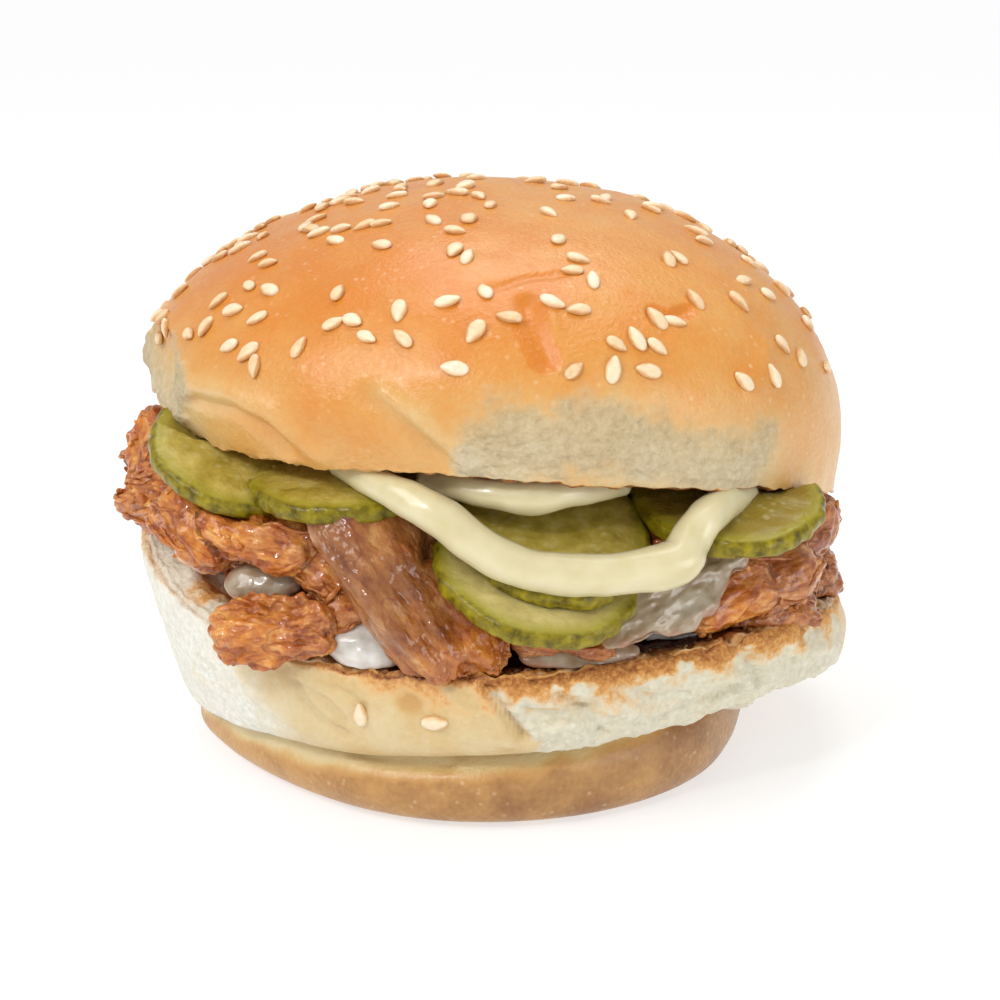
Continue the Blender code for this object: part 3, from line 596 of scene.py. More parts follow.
def off_line(places, line):
    """Each place's distance from a line through points."""
    nearest = np.full(len(places), np.inf)
    for start, end in zip(line, line[1:]):
        start, step = np.array(start), np.array(end) - np.array(start)
        share = np.clip((places - start) @ step / (step @ step), 0, 1)
        nearest = np.minimum(nearest, np.linalg.norm(places - start - share[:, None] * step, axis=1))
    return nearest


def mark(places, surface, pixels, width):
    """1 on a line drawn on the surface, falling away over its width."""
    line = [seen_spot(surface, pixel) for pixel in pixels]
    return np.exp(-((off_line(places, line) / width) ** 2))


def rear_marks(places, draw, first, last, heights, count, middle, radius):
    """Soft dents and ridges by rule on the side that the photograph doesn't show."""
    rise = np.zeros(len(places))
    for _ in range(count):
        turn, height = math.radians(draw.uniform(first, last)), draw.uniform(*heights)
        start = np.array((middle.x + radius * math.cos(turn), middle.y + radius * math.sin(turn), height))
        step = np.array((-math.sin(turn), math.cos(turn), draw.uniform(-0.8, 0.8))) * draw.uniform(4, 9)
        gap = off_line(places, (start - step, start + step))
        rise += draw.choice((-0.7, -0.5, 0.5)) * np.exp(-((gap / draw.uniform(2.0, 4.0)) ** 2))
    return rise


def swelled(places, waves):
    """Broad swellings, each given by its height, its width and its seed."""
    return sum(height * bumps(places, width, seed) for height, width, seed in waves)


def off_middle(places, turn):
    """How far places lie from the crown's middle in one direction."""
    return (places - np.array(CROWN_MIDDLE)) @ np.array((math.cos(turn), math.sin(turn), 0.0))


def pulled_patch(places, turns, surface):
    """1 where the crown was pulled from a neighbour, in front as shown and behind by rule, falling away."""
    patch = mark(places, surface, PATCH_LINE, PATCH_WIDTH)
    ragged_turns = np.degrees(turns) + 1.5 * layered(places, 2.5, 2)
    patch *= ease(ragged_turns, PATCH_START - 1.0, PATCH_START + 1.0)
    middle, spread, height, width = REAR_PATCH
    sweep = np.radians(np.linspace(middle - spread, middle + spread, 6))
    rear_line = spots(CROWN_MIDDLE, sweep, torn(sweep, around(CROWN_REACH, sweep)), height)
    return np.maximum(patch, np.exp(-((off_line(places, rear_line) / width) ** 2)))


def crown_relief(places, surface, side, torn_face, pocket, fluff, ragged):
    """Swellings, folds and dents, the hollows of the torn face, open crumb, and a ragged edge."""
    body = swelled(places, CROWN_WAVES)
    for pixels, width, height in CROWN_MARKS:
        body += height * mark(places, surface, pixels, width) * (1 - torn_face)
    body += rear_marks(places, random.Random(21), 20, 165, (60, 80), 9, CROWN_MIDDLE, 50.0) * side
    body += torn_face * (0.5 - POCKET_DEPTH * pocket + 0.5 * layered(places, 3.5, 3, seed=6))
    body += fluff * (0.15 + 0.28 * layered(places, (1.7, 1.7, 1.3), 3, 0.6, seed=7)) * (1 - torn_face)
    return body + ragged * 0.28 * layered(places, 2.4, 3, 0.65, seed=8)


def crown_bake(places, turns, surface, side, rise, toward, patch):
    """How deeply the crust is baked: most on top and at the left, least at its edge and where it was torn."""
    height = places[:, 2]
    bake = 0.56 + 0.20 * ease(height, 50, 76) + 0.10 * layered(places, 11.0, 3, seed=12)
    bake += 0.20 * ease(off_middle(places, DEEP_TURN), -6.0, 38.0) * ease(height, 66, 80)
    bake -= 0.10 * window(turns, *PALE_CROWN_SIDE) * (1 - ease(height, 52, 66))
    bake -= 0.34 * patch
    bake -= 0.36 * ease(toward, TORN_DISTANCE - 7.0, TORN_DISTANCE - 0.5) * (1 - ease(rise, 8, 16))
    bake -= 0.10 * (1 - ease(rise, 0, 7)) * side
    pale = sum(strength * mark(places, surface, pixels, width) for pixels, width, strength in PALE_FOLDS)
    bake -= 0.30 * np.clip(pale, 0, 1)
    amber = np.zeros(len(places))
    for pixels, width in AMBER_MARKS:
        amber = np.maximum(amber, ease(mark(places, surface, pixels, width), 0.30, 0.50))
    return bake + 0.32 * amber


def crown_toast(places, turns, side, rise):
    """A thin toasted line along the cut edge, and the toasted cut face."""
    line = 1 - ease(np.abs(rise - 0.05 + 0.3 * layered(places, 1.6, 2, seed=14)), 0.15, 0.6)
    line *= 0.03 + 0.62 * window(turns, *TOASTED_EDGE)
    toast = np.maximum(line * ease(layered(places, 2.4, 2, seed=15), -0.35, 0.25), 0.62 * (~side))
    return toast * (1 - 0.75 * window(turns, *FRESH_EDGE) * (1 - ease(-rise, 0.5, 4.0)))


def make_crown():
    """The top of the bun: dents and folds, two places pulled from neighbours, a torn side, a ragged edge."""
    mesh, turns, levels = swept("crown", crown_knots, CROWN_RINGS, CROWN_CORNERS, CROWN_SEGMENTS)
    surface = tree_of(mesh)
    places = read(mesh)
    rise = places[:, 2] - around(CROWN_EDGE_HEIGHT, turns)
    side = levels > CROWN_FACE_LEVEL
    toward = off_middle(places, TORN_TURN) + 0.45 * layered(places, 2.5, 2)
    torn_face = ease(toward, TORN_DISTANCE - 0.75, TORN_DISTANCE - 0.25) * side
    off_pocket = ((turns - TORN_TURN) / POCKET_SPREAD) ** 2
    off_pocket += ((places[:, 2] - POCKET_HEIGHT) / POCKET_RISE) ** 2
    pocket = np.exp(-off_pocket)
    patch = pulled_patch(places, turns, surface) * side
    mottle = layered(places, 9.0, 2, seed=3) + 0.5 * layered(places, 2.2, 3, 0.7, seed=4)
    fluff = ease(patch + 0.34 * mottle, 0.24, 0.80) * (patch > 0.02)
    ragged = np.exp(-((rise / 1.1) ** 2))
    raise_by(mesh, crown_relief(places, surface, side, torn_face, pocket, fluff, ragged))
    places = read(mesh)
    places[:, 2] += ragged * 0.3 * layered(places, (3.2, 3.2, 9.0), 3, 0.6, seed=9)
    write(mesh, places)

    smear = torn_face * pocket
    bake = crown_bake(places, turns, surface, side, rise, toward, patch) + 0.2 * smear
    keep_field(mesh, "bake", np.clip(bake, 0, 1.2))
    keep_field(mesh, "crumb", np.clip(np.maximum(torn_face, 0.85 * fluff) - 0.8 * smear, 0, 1))
    keep_field(mesh, "toast", np.clip(crown_toast(places, turns, side, rise), 0, 1))
    keep_field(mesh, "sauce", np.zeros(len(places)))
    return mesh


def skin_at(places, turns, drop):
    """1 where the heel's side keeps its smooth skin, whose ends slant."""
    slanted = turns - np.radians(SKIN_SLANT) * np.clip(drop, 0, 12) + 0.05 * layered(places, 4.0, 3, seed=1)
    skin = np.zeros(len(places))
    for first, last, fade_in, fade_out in HEEL_SKINS:
        middle = (first + last) / 2
        kept = window(slanted, first, last + 90, fade_in) * window(slanted, first - 90, last, fade_out)
        skin = np.maximum(skin, kept * window(turns, middle - 60, middle + 60, 1))
    return skin


def inset_at(places, turns):
    """How far places lie in from the heel's edge, as a share of its reach."""
    return 1 - np.hypot(places[:, 0] - HEEL_MIDDLE.x, places[:, 1]) / around(HEEL_REACH, turns)


def torn_folds(places):
    """Relief of bread pulled apart: soft folds with fine upright wisps."""
    sway = [reach * bumps(places, 5.0, seed) for reach, seed in ((2.0, 17), (2.0, 18), (1.5, 19))]
    pulled = places + np.column_stack(sway)
    folds = ridged(pulled, (11.0, 11.0, 5.5), 2, 0.4, seed=4)
    wisps = ridged(pulled, (1.6, 1.6, 5.0), 2, 0.5, seed=5)
    return 1.2 * (folds - 0.6) + 0.30 * (wisps - 0.6) + 0.1 * layered(places, 2.4, 2, seed=6)


def heel_relief(places, turns, surface, foot, face, crumb, ragged):
    """Swellings, pulled crumb, folds, a ragged rim, and a rough cut face that swells at the left."""
    side = ~foot & ~face
    calm = 1 - 0.8 * window(turns, *CALM_CRUMB)
    body = swelled(places, HEEL_WAVES) * np.where(foot, ease(places[:, 2], 0.3, 4.0), 1.0)
    body += crumb * calm * torn_folds(places)
    body += crumb * (1 - calm) * 0.4 * layered(places, (8.0, 8.0, 10.0), 2, 0.4, seed=7)
    for pixels, width, height in HEEL_MARKS:
        body += height * mark(places, surface, pixels, width)
    body += rear_marks(places, random.Random(22), 60, 150, (12, 22), 7, HEEL_MIDDLE, 53.0) * side
    body += ragged * 0.45 * layered(places, 2.2, 3, 0.65, seed=8)
    body += face * 0.35 * layered(places, 2.6, 3, 0.6, seed=9)
    swell = np.exp(-(((inset_at(places, turns) - 0.075) / 0.05) ** 2))
    return (body + face * 2.4 * window(turns, *SWOLLEN_FACE) * swell) * (places[:, 2] > 0.01)


def heel_toast(places, turns, surface, foot, face, drop):
    """The toasted rim, which runs a little way down the side, and the toasted cut face."""
    depth = 1 + 0.9 * layered(places, 5.0, 2, seed=11) + 0.35 * bumps(places, 1.2, 12)
    depth = np.maximum(around(TOAST_DEPTH, turns) * depth, 0.35)
    fringe = (1 - ease(np.clip(drop, 0, None), 0.15, depth)) * (~foot & ~face) * around(TOAST_STRENGTH, turns)
    thin = np.exp(-(((drop - 0.3) / (0.5 + 0.3 * bumps(places, 1.5, 20))) ** 2))
    thin *= window(turns, *THIN_TOAST) * ~foot
    fringe = np.maximum(fringe, thin * (0.6 + 0.3 * layered(places, 1.4, 2, seed=21)))
    deep = ease(inset_at(places, turns) + 0.02 * layered(places, 3.0, 2, seed=13), 0.02, 0.10)
    charred = 0.36 + 0.40 * deep + 0.22 * layered(places, 2.0, 2, seed=13)
    charred *= around(FACE_TOAST, turns)
    spot = np.array(seen_spot(surface, FACE_GOLD_SPOT))
    off_spot = np.linalg.norm(places - spot, axis=1) + 1.2 * layered(places, 2.5, 2, seed=23)
    return np.maximum(fringe, np.maximum(charred, 0.36 * (1 - ease(off_spot, 3.0, 6.5))) * face)


def heel_bake(places, turns, surface, foot, side, skin, drop):
    """A baked foot, paler towards its crease, and pale skin and crumb above it. The foot's deep brown is
    partly painted shade.
    """
    height = places[:, 2] / np.maximum(around(HEEL_CREASE_HEIGHT, turns), 1.0)
    band = 0.62 + 0.10 * layered(places, 9.0, 2, seed=22) + 0.14 * window(turns, 296, 400, 20)
    # The foot's deep brown is partly painted shade, and it is darker still on its right, which is painted
    # shade; it is paler on its left
    foot_bake = 0.84 - 0.86 * ease(height, band, band + 0.28) + 0.10 * layered(places, 8.0, 2, seed=15)
    foot_bake += 0.06 * window(turns, 285, 380, 25) - 0.10 * window(turns, 190, 245, 16)
    warm = 0.06 + 0.34 * window(turns, 255, 345, 20) + 0.14 * window(turns, 20, 150, 20)
    bake = np.where(foot, foot_bake, np.where(skin > 0.5, 0.10, warm))
    bake += side * skin * 0.1 * layered(places, 8.0, 3, seed=16)
    bake += side * skin * (0.14 * ease(-drop, -9, -2) + 0.12 * window(turns, 338, 380, 6))
    off_gold = np.linalg.norm(places - np.array(seen_spot(surface, HEEL_GOLD_SPOT)), axis=1)
    return bake + 0.42 * np.exp(-((off_gold / 2.2) ** 4))


def make_heel():
    """The bottom of the bun: torn crumb and smooth skin over a crease, a baked foot partly darkened by
    painted shade, a toasted cut face.
    """
    mesh, turns, levels = swept("heel", heel_knots, HEEL_RINGS, HEEL_CORNERS, HEEL_SEGMENTS)
    places = read(mesh)
    places[:, 2] = np.maximum(places[:, 2], 0.0)
    write(mesh, places)
    surface = tree_of(mesh)
    drop = around(HEEL_EDGE_HEIGHT, turns) - places[:, 2]
    foot = levels <= HEEL_CREASE_LEVEL
    face = levels > HEEL_FACE_LEVEL
    side = ~foot & ~face
    skin = skin_at(places, turns, drop)
    crumb = (1 - skin) * side
    ragged = np.exp(-(drop**2)) * ~foot
    raise_by(mesh, heel_relief(places, turns, surface, foot, face, crumb, ragged))
    places = read(mesh)
    shift = ragged * 0.4 * layered(places, (3.0, 3.0, 9.0), 3, seed=10)
    places[:, 2] = np.maximum(places[:, 2] + shift, 0.0)
    write(mesh, places)

    pale_left, gold_right = window(turns, *PALE_FACE), window(turns, *GOLD_FACE)
    sauce = ease(inset_at(places, turns) + 0.02 * layered(places, 3.0, 2, seed=14), 0.03, 0.08) * face
    sauce *= np.clip(1 - pale_left - 0.75 * gold_right, 0, 1)
    crumb = np.maximum(crumb, (0.85 - 0.2 * pale_left) * face)
    keep_field(mesh, "bake", np.clip(heel_bake(places, turns, surface, foot, side, skin, drop), 0, 1.2))
    keep_field(mesh, "crumb", np.clip(crumb, 0, 1))
    keep_field(mesh, "toast", np.clip(heel_toast(places, turns, surface, foot, face, drop), 0, 1))
    keep_field(mesh, "sauce", np.clip(sauce, 0, 1))
    return mesh


def facing(normal, along=Vector((1.0, 0.0, 0.0))):
    """A rotation that turns +Z to the normal and keeps +X near the given direction."""
    up = Vector(normal).normalized()
    along = Vector(along)
    side = (along - up * along.dot(up)).normalized()
    return Matrix((side, up.cross(side), up)).transposed().to_4x4()


def within(places, middle, normal, along=Vector((1.0, 0.0, 0.0))):
    """The places in a piece's own frame."""
    turned = np.array(facing(normal, along).to_3x3())
    return (places - np.array(middle)) @ turned


def share_out(middle, radii, places):
    """The places' angles round a middle, and how far out they are as a share of the radius there."""
    x, y = places[..., 0] - middle.x, places[..., 1] - middle.y
    turns = np.arctan2(y, x) % math.tau
    return turns, np.hypot(x, y) / around(radii, turns)


def cut_face(places, middle, reach, edge_height, middle_height):
    """The height of a cut face at places, and whether they are within its edge."""
    turns, shares = share_out(middle, reach, places)
    edge = around(edge_height, turns)
    height = middle_height + (edge - middle_height) * np.minimum(1.0, shares) ** FACE_POWER
    return height, shares < EDGE_REACH


def under_crown(places):
    """The crown's cut face above places."""
    return cut_face(places, CROWN_MIDDLE, CROWN_EDGE_REACH, CROWN_EDGE_HEIGHT, CROWN_FACE_HEIGHT)


def on_heel(places):
    """The heel's cut face under places."""
    return cut_face(places, HEEL_MIDDLE, HEEL_REACH, HEEL_EDGE_HEIGHT, HEEL_FACE_HEIGHT)


def pressed(places):
    """The places, kept between the two cut faces."""
    ceiling, is_under = under_crown(places)
    floor, is_over = on_heel(places)
    heights = np.where(is_under, np.minimum(places[:, 2], ceiling - PRESSED_GAP), places[:, 2])
    heights = np.where(is_over, np.maximum(heights, floor + PRESSED_GAP), heights)
    return np.column_stack((places[:, :2], heights))


def ball(rounds):
    """The corners and faces of a ball of radius 1."""
    shape = bmesh.new()
    bmesh.ops.create_icosphere(shape, subdivisions=rounds, radius=1.0)
    corners = np.array([corner.co for corner in shape.verts])
    faces = np.array([[corner.index for corner in face.verts] for face in shape.faces])
    shape.free()
    return corners, faces


def moved(corners, move):
    """Corners moved by a 4 x 4 matrix."""
    turn = np.array(move)
    return corners @ turn[:3, :3].T + turn[:3, 3]


def scattered(name, corners, faces, moves):
    """Many copies of one shape as one mesh, each moved by its own matrix."""
    places = np.concatenate([moved(corners, move) for move in moves])
    numbers = faces[None] + (np.arange(len(moves)) * len(corners))[:, None, None]
    return mesh_from(name, places, numbers.reshape(-1, 3).tolist())


def chunk(corners, size, shift):
    """A torn piece of meat: boxy, longer than wide, grooved along its fibres."""
    places = []
    for corner in corners:
        boxed = Vector([math.copysign(abs(value) ** CHUNK_BOXINESS, value) for value in corner])
        fibre = noise.noise(Vector((boxed.x * 0.9, boxed.y * 2.6, boxed.z * 2.6)) + shift)
        lump = noise.noise(boxed * 1.3 - shift)
        places.append(boxed * (1 + CHUNK_ROUGHNESS * (fibre + 1.4 * lump)))
    return np.array(places) * np.array(size) / 2


def shift_of(draw):
    return Vector([draw.uniform(-50, 50) for _ in range(3)])


def rear_pieces(draw):
    """The heap's pieces round its sides and back, by the same rule as its solid."""
    first, last = REAR_TURNS
    for number in range(REAR_PIECES):
        turn = first + (last - first) * (number + draw.uniform(0.2, 0.8)) / REAR_PIECES
        level = REAR_LEVELS[number % len(REAR_LEVELS)]
        radius = float(around(CORE_REACH, turn)) + draw.uniform(-1.0, 3.5)
        place = spots(CORE_MIDDLE, turn, radius, 0.0)
        place[2] = on_heel(place)[0] * (1 - level) + under_crown(place)[0] * level
        out = (math.cos(turn), math.sin(turn), 0.5)
        along = (-math.sin(turn), math.cos(turn), draw.uniform(-0.7, 0.7))
        size = (draw.uniform(12, 19), draw.uniform(7, 10), draw.uniform(6, 8))
        shift_of(draw)
        yield size, place, out, along


def placed(name, data):
    """A new object in the scene."""
    made = bpy.data.objects.new(name, data)
    bpy.context.scene.collection.objects.link(made)
    return made


def evaluated(piece):
    """The piece's mesh with its modifiers applied, and the piece removed."""
    bpy.context.view_layer.update()
    made = piece.evaluated_get(bpy.context.evaluated_depsgraph_get())
    mesh = bpy.data.meshes.new_from_object(made)
    bpy.data.objects.remove(piece)
    return mesh


def refined(node, voxel):
    """A copy of a solid with fine, even faces and soft edges."""
    guide = placed("guide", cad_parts[node].data.copy())
    guide.data.materials.clear()
    fine = guide.modifiers.new("fine", "REMESH")
    fine.mode = "VOXEL"
    fine.voxel_size = voxel * MM
    soft = guide.modifiers.new("soft", "SMOOTH")
    soft.factor = 0.5
    soft.iterations = 5
    return evaluated(guide)


def nearest_frames(places, pieces):
    """For each place, which piece it belongs to, and its place in that piece's own frame."""
    best = np.full(len(places), np.inf)
    owner = np.zeros(len(places), int)
    inner = np.zeros((len(places), 3))
    for number, (size, middle, normal, along) in enumerate(pieces):
        local = within(places, middle, normal, along)
        reach = np.linalg.norm(local / (np.array(size) / 2), axis=1)
        closer = reach < best
        best[closer] = reach[closer]
        owner[closer] = number
        inner[closer] = local[closer] + number * 31.7
    return owner, inner


def fibres(places, grain):
    """Relief of muscle fibres along the grain's X: round bundles and strands between sharp hollows."""
    bent = grain + np.column_stack([1.6 * bumps(places, 6.0, seed) for seed in (31, 32, 33)])
    bundles = 1 - ridged(bent, (10.0, 3.0, 3.0), 2, 0.5, seed=1)
    strands = 1 - ridged(bent, (4.0, 1.5, 1.5), 2, 0.5, seed=2)
    lumps = 1 - ridged(bent, (11.0, 6.0, 6.0), 2, 0.4, seed=3)
    smooth = 0.75 * ease(places[:, 0], 12, 30) * ease(-places[:, 1], 0, 20)
    return (1 - smooth) * ((bundles - 0.35) + 0.38 * (strands - 0.35)) + smooth * 1.5 * (lumps - 0.3)


def tone_at(places):
    """How orange the sauce makes the meat: most on the left, and at one piece on the right."""
    left = ease(-places[:, 0], -12, 34)
    spot = np.exp(-((np.linalg.norm(places - np.array(ORANGE_SPOT), axis=1) / 8.0) ** 2))
    return np.clip(0.30 + 0.42 * left + 0.5 * spot + 0.38 * layered(places, 6.0, 2, seed=20), 0, 1)


def off_slices(places):
    """The places, lowered under each pickle slice that they lie over, so that no meat lies on its face."""
    for middle, normal, radius in PICKLES.values():
        inner = within(places, middle, normal)
        over = 1 - ease(np.hypot(inner[:, 0], inner[:, 1]), radius + 0.5, radius + 2.5)
        drop = over * ease(inner[:, 2], -0.8, 0.8) * (inner[:, 2] + 2.0)
        places = places - drop[:, None] * np.array(normal.normalized())
    return places


def finish_meat(mesh, grain):
    places = read(mesh)
    keep_field(mesh, "grain", grain)
    keep_field(mesh, "tone", tone_at(places))


def make_heap(pieces):
    mesh = refined("pulled_pork", HEAP_VOXEL)
    places = read(mesh)
    _, grain = nearest_frames(places, pieces)
    rise = fibres(places, grain) + 0.4 * layered(places, 3.4, 3, 0.6, seed=3) + 0.15 * bumps(places, 1.3, 5)
    raise_by(mesh, rise)
    write(mesh, off_slices(read(mesh)))
    finish_meat(mesh, grain)
    return mesh


def make_chunk(name, shift):
    size, middle, normal, along = PORK_PIECES[name]
    corners, faces = ball(CHUNK_ROUNDS[name])
    laid = moved(chunk(corners, size, shift), Matrix.Translation(Vector(middle)) @ facing(normal, along))
    places = pressed(laid)
    mesh = mesh_from(name, places, faces.tolist())
    grain = within(places, middle, normal, along)
    frayed = ease(grain[:, 0], size[0] * 0.28, size[0] * 0.5)
    fibrous, lumpy = CHUNK_RELIEF[name]
    rise = fibrous * fibres(places, grain) + (lumpy + 0.6 * frayed) * layered(places, 2.4, 3, 0.6, seed=4)
    rise += lumpy * layered(places, 5.0, 2, 0.5, seed=11) + 0.08 * bumps(places, 0.8, 6)
    raise_by(mesh, rise)
    write(mesh, off_slices(read(mesh)))
    finish_meat(mesh, grain)
    if name == "pork_slab":
        # The slab is browner and darker towards its upper end, under the crown's edge: partly its own colour,
        # partly painted shade
        tone = 0.02 + 0.55 * ease(grain[:, 0], 1, 14) + 0.3 * layered(places, 5.0, 2, seed=24)
        mesh.attributes["tone"].data.foreach_set("value", np.clip(tone, 0, 1).astype(np.float32))
    return mesh


def open_spots(mesh, draw, count):
    """Places on the heap's open side, spread at random, with their normals."""
    places, normals = read(mesh), normals_of(mesh)
    turns = np.arctan2(places[:, 1] - CORE_MIDDLE.y, places[:, 0] - CORE_MIDDLE.x) % math.tau
    reach = np.hypot(places[:, 0] - CORE_MIDDLE.x, places[:, 1] - CORE_MIDDLE.y) / around(CORE_REACH, turns)
    outward = normals[:, 0] * np.cos(turns) + normals[:, 1] * np.sin(turns)
    is_open = np.flatnonzero((reach > 0.86) & (outward > 0.1))
    return [(number, places[number], normals[number]) for number in draw.choices(list(is_open), k=count)]


def curve_mesh(name, strands, sides):
    """Tubes along lines of (x, y, z, radius), as one mesh."""
    curve = bpy.data.curves.new(name, "CURVE")
    curve.dimensions = "3D"
    curve.bevel_depth = MM
    curve.bevel_resolution = sides
    curve.use_fill_caps = True
    for strand in strands:
        spline = curve.splines.new("POLY")
        spline.points.add(len(strand) - 1)
        for knot, (x, y, z, radius) in zip(spline.points, strand):
            knot.co = (x * MM, y * MM, z * MM, 1.0)
            knot.radius = radius
    mesh = evaluated(placed(name, curve))
    shape = bmesh.new()
    shape.from_mesh(mesh)
    bmesh.ops.remove_doubles(shape, verts=shape.verts, dist=0.01 * MM)
    bmesh.ops.recalc_face_normals(shape, faces=shape.faces)
    shape.to_mesh(mesh)
    shape.free()
    return mesh


def make_shreds(heap, pieces):
    """Loose strands pulled from the meat, which follow the heap's surface."""
    draw = random.Random(31)
    surface = tree_of(heap)
    owners, _ = nearest_frames(read(heap), pieces)
    strands = []
    for number, start, normal in open_spots(heap, draw, SHRED_COUNT):
        along = Vector(pieces[owners[number]][3]).normalized()
        along += Vector([draw.gauss(0, 0.35) for _ in range(3)])
        normal = Vector(normal)
        along = (along - normal * along.dot(normal)).normalized()
        sway = normal.cross(along) * draw.uniform(-0.12, 0.12)
        length, thick = draw.uniform(*SHRED_LENGTH), draw.uniform(*SHRED_RADIUS)
        lift = draw.uniform(-0.15, 0.12)
        strand = []
        for step in range(SHRED_STEPS + 1):
            share = step / SHRED_STEPS - 0.5
            guess = Vector(start) + along * length * share + sway * length * (share * share * 4)
            found, facing_out, _, _ = surface.find_nearest(guess, 4.0)
            if found is None or not in_gap(np.array(found)):
                continue
            radius = thick * max(0.12, 1 - (2 * abs(share)) ** 3)
            strand.append((*(found + facing_out * (radius * 0.5 + lift * abs(share) * 2)), radius))
        if len(strand) > 4:
            strands.append(strand)
    mesh = curve_mesh("pork_shreds", strands, 1)
    places = read(mesh)
    raise_by(mesh, 0.12 * layered(places, 1.6, 2, seed=8))
    finish_meat(mesh, places * np.array((0.5, 1.0, 1.0)))
    return mesh


def in_gap(place):
    """Whether a place is between the cut faces with a little room, or outside the bread."""
    ceiling, is_under = under_crown(place)
    floor, is_over = on_heel(place)
    return (not is_under or place[2] < ceiling - 0.9) and (not is_over or place[2] > floor + 0.7)


def stretched(draw, size, shape):
    """A matrix that gives a thing its size, a little different along each axis."""
    return Matrix.Diagonal((*(draw.uniform(*span) * size for span in shape), 1.0))


def make_scraps(heap):
    """Small crumbs of meat and glaze on the heap."""
    draw = random.Random(32)
    moves = []
    for _, place, _ in open_spots(heap, draw, SCRAP_COUNT):
        if not in_gap(place):
            continue
        size = draw.uniform(*SCRAP_SIZE)
        turned = Matrix.Rotation(draw.uniform(0, math.tau), 4, Vector([draw.gauss(0, 1) for _ in range(3)]))
        moves.append(Matrix.Translation(Vector(place)) @ turned @ stretched(draw, size, SCRAP_SHAPE))
    mesh = scattered("pork_scraps", *ball(3), moves)
    places = read(mesh)
    raise_by(mesh, 0.25 * layered(places, 1.1, 2, seed=9))
    finish_meat(mesh, places)
    return mesh


def make_onion(name):
    """A piece of an onion layer: thick in the middle, thin at its edges, with faint lines along it."""
    (length, width, thickness), curl, middle, normal, along = ONIONS[name]
    corners, faces = ball(6)
    x, y, z = corners.T
    rim = ease(np.hypot(x, y), 0.72, 1.0)
    y = y * (1 + ONION_EDGE[name] * layered(np.column_stack((x, np.sign(y), 0 * x)), 0.6, 3, 0.6, seed=7))
    petal = np.column_stack((x * length / 2, y * width / 2, z * thickness / 2 - curl * y * y * width / 4))
    places = pressed(moved(petal, Matrix.Translation(Vector(middle)) @ facing(normal, along)))
    mesh = mesh_from(name, places, faces.tolist())
    grain = within(places, middle, normal, along)
    wave = 0.35 * layered(grain, (5.0, 3.0, 3.0), 2, seed=2)
    if name == "onion_layer":
        wave = 1.0 * layered(grain, (7.0, 4.0, 12.0), 3, 0.45, seed=2) - 0.25
    raise_by(mesh, wave + 0.05 * bumps(grain, (9.0, 1.6, 3.0), 4))
    keep_field(mesh, "grain", grain)
    keep_field(mesh, "rim", rim * np.clip(0.6 + 0.7 * layered(places, 3.0, 2, seed=8), 0, 1))
    return mesh


def make_pickle(name, wave):
    """A slice of pickle: its place within the slice is kept, for the rind, the flesh and the seeds."""
    middle, normal, radius = PICKLES[name]
    mesh = refined(name, SLICE_VOXEL)
    places = read(mesh)
    inner = within(places, middle, normal)
    turns = np.arctan2(inner[:, 1], inner[:, 0])
    out = radius * (1 + 0.03 * np.sin(2 * turns + wave) + 0.012 * np.sin(7 * turns + wave))
    share = np.hypot(inner[:, 0], inner[:, 1]) / out
    flat = 1 - ease(share, 0.86, 0.93)
    ring = np.exp(-(((share - 0.48) / 0.2) ** 2)) * flat
    rise = 0.16 * layered(inner, 2.6, 2, seed=2) + 0.10 * ring * bumps(inner, (1.6, 1.6, 9.0), 3)
    rise += 0.22 * ease(share, 0.9, 0.97) * bumps(inner, 1.8, 4)
    rise -= 0.12 * np.exp(-(((share - 0.9) / 0.03) ** 2))
    raise_by(mesh, rise)
    keep_field(mesh, "share", share)
    # Each slice keeps how pale its flesh is, and, in the field named deep, how much painted shade darkens it
    for kind, slices in (("pale", PALE_SLICES), ("deep", DEEP_SLICES)):
        keep_field(mesh, kind, np.full(len(places), slices.get(name, 0.0)))
    keep_field(mesh, "grain", inner + wave * 10)
    return mesh


def smooth_line(points, parts):
    """The points with parts - 1 more between each two, on a smooth curve."""
    line = []
    last = len(points) - 1
    for first in range(last):
        near = [points[max(0, min(last, first + step))] for step in (-1, 0, 1, 2)]
        for part in range(parts):
            line.append(tuple(curve_between(*values, part / parts) for values in zip(*near)))
    line.append(tuple(points[last]))
    return line


def make_ribbon(name):
    """A piped ribbon, a little uneven, with a shallow groove along its top."""
    line = smooth_line(RIBBONS[name], RIBBON_PARTS)
    mesh = curve_mesh(name, [line], 7)
    places = read(mesh)
    middles = np.array([point[:3] for point in line])
    gaps = np.linalg.norm(places[:, None, :] - middles[None, :, :], axis=2)
    nearest = gaps.argmin(axis=1)
    up = (places[:, 2] - middles[nearest, 2]) / np.maximum(gaps.min(axis=1), 0.1)
    groove = -0.22 * np.exp(-(((up - 0.45) / 0.18) ** 2))
    raise_by(mesh, 0.28 * layered(places, 6.0, 2, seed=3) + groove)
    return mesh


def dome_point(turn, share):
    """The point of the crown's dome at a share of its reach."""
    belly = float(around(CROWN_BELLY_HEIGHT, turn))
    power = 2 / float(around(CROWN_FULLNESS, turn))
    rise = math.acos(min(1.0, share ** (1 / power)))
    height = belly + (CROWN_TOP - belly) * math.sin(rise) ** power
    radius = float(torn(turn, float(around(CROWN_REACH, turn)) * share))
    return Vector(spots(CROWN_MIDDLE, turn, radius, height))


def dome_normal(turn, share):
    step = 0.02
    round_it = dome_point(turn + step, share) - dome_point(turn - step, share)
    along_it = dome_point(turn, share + step / 2) - dome_point(turn, share - step / 2)
    normal = round_it.cross(along_it).normalized()
    return normal if normal.dot(Vector((math.cos(turn), math.sin(turn), 0.3))) > 0 else -normal


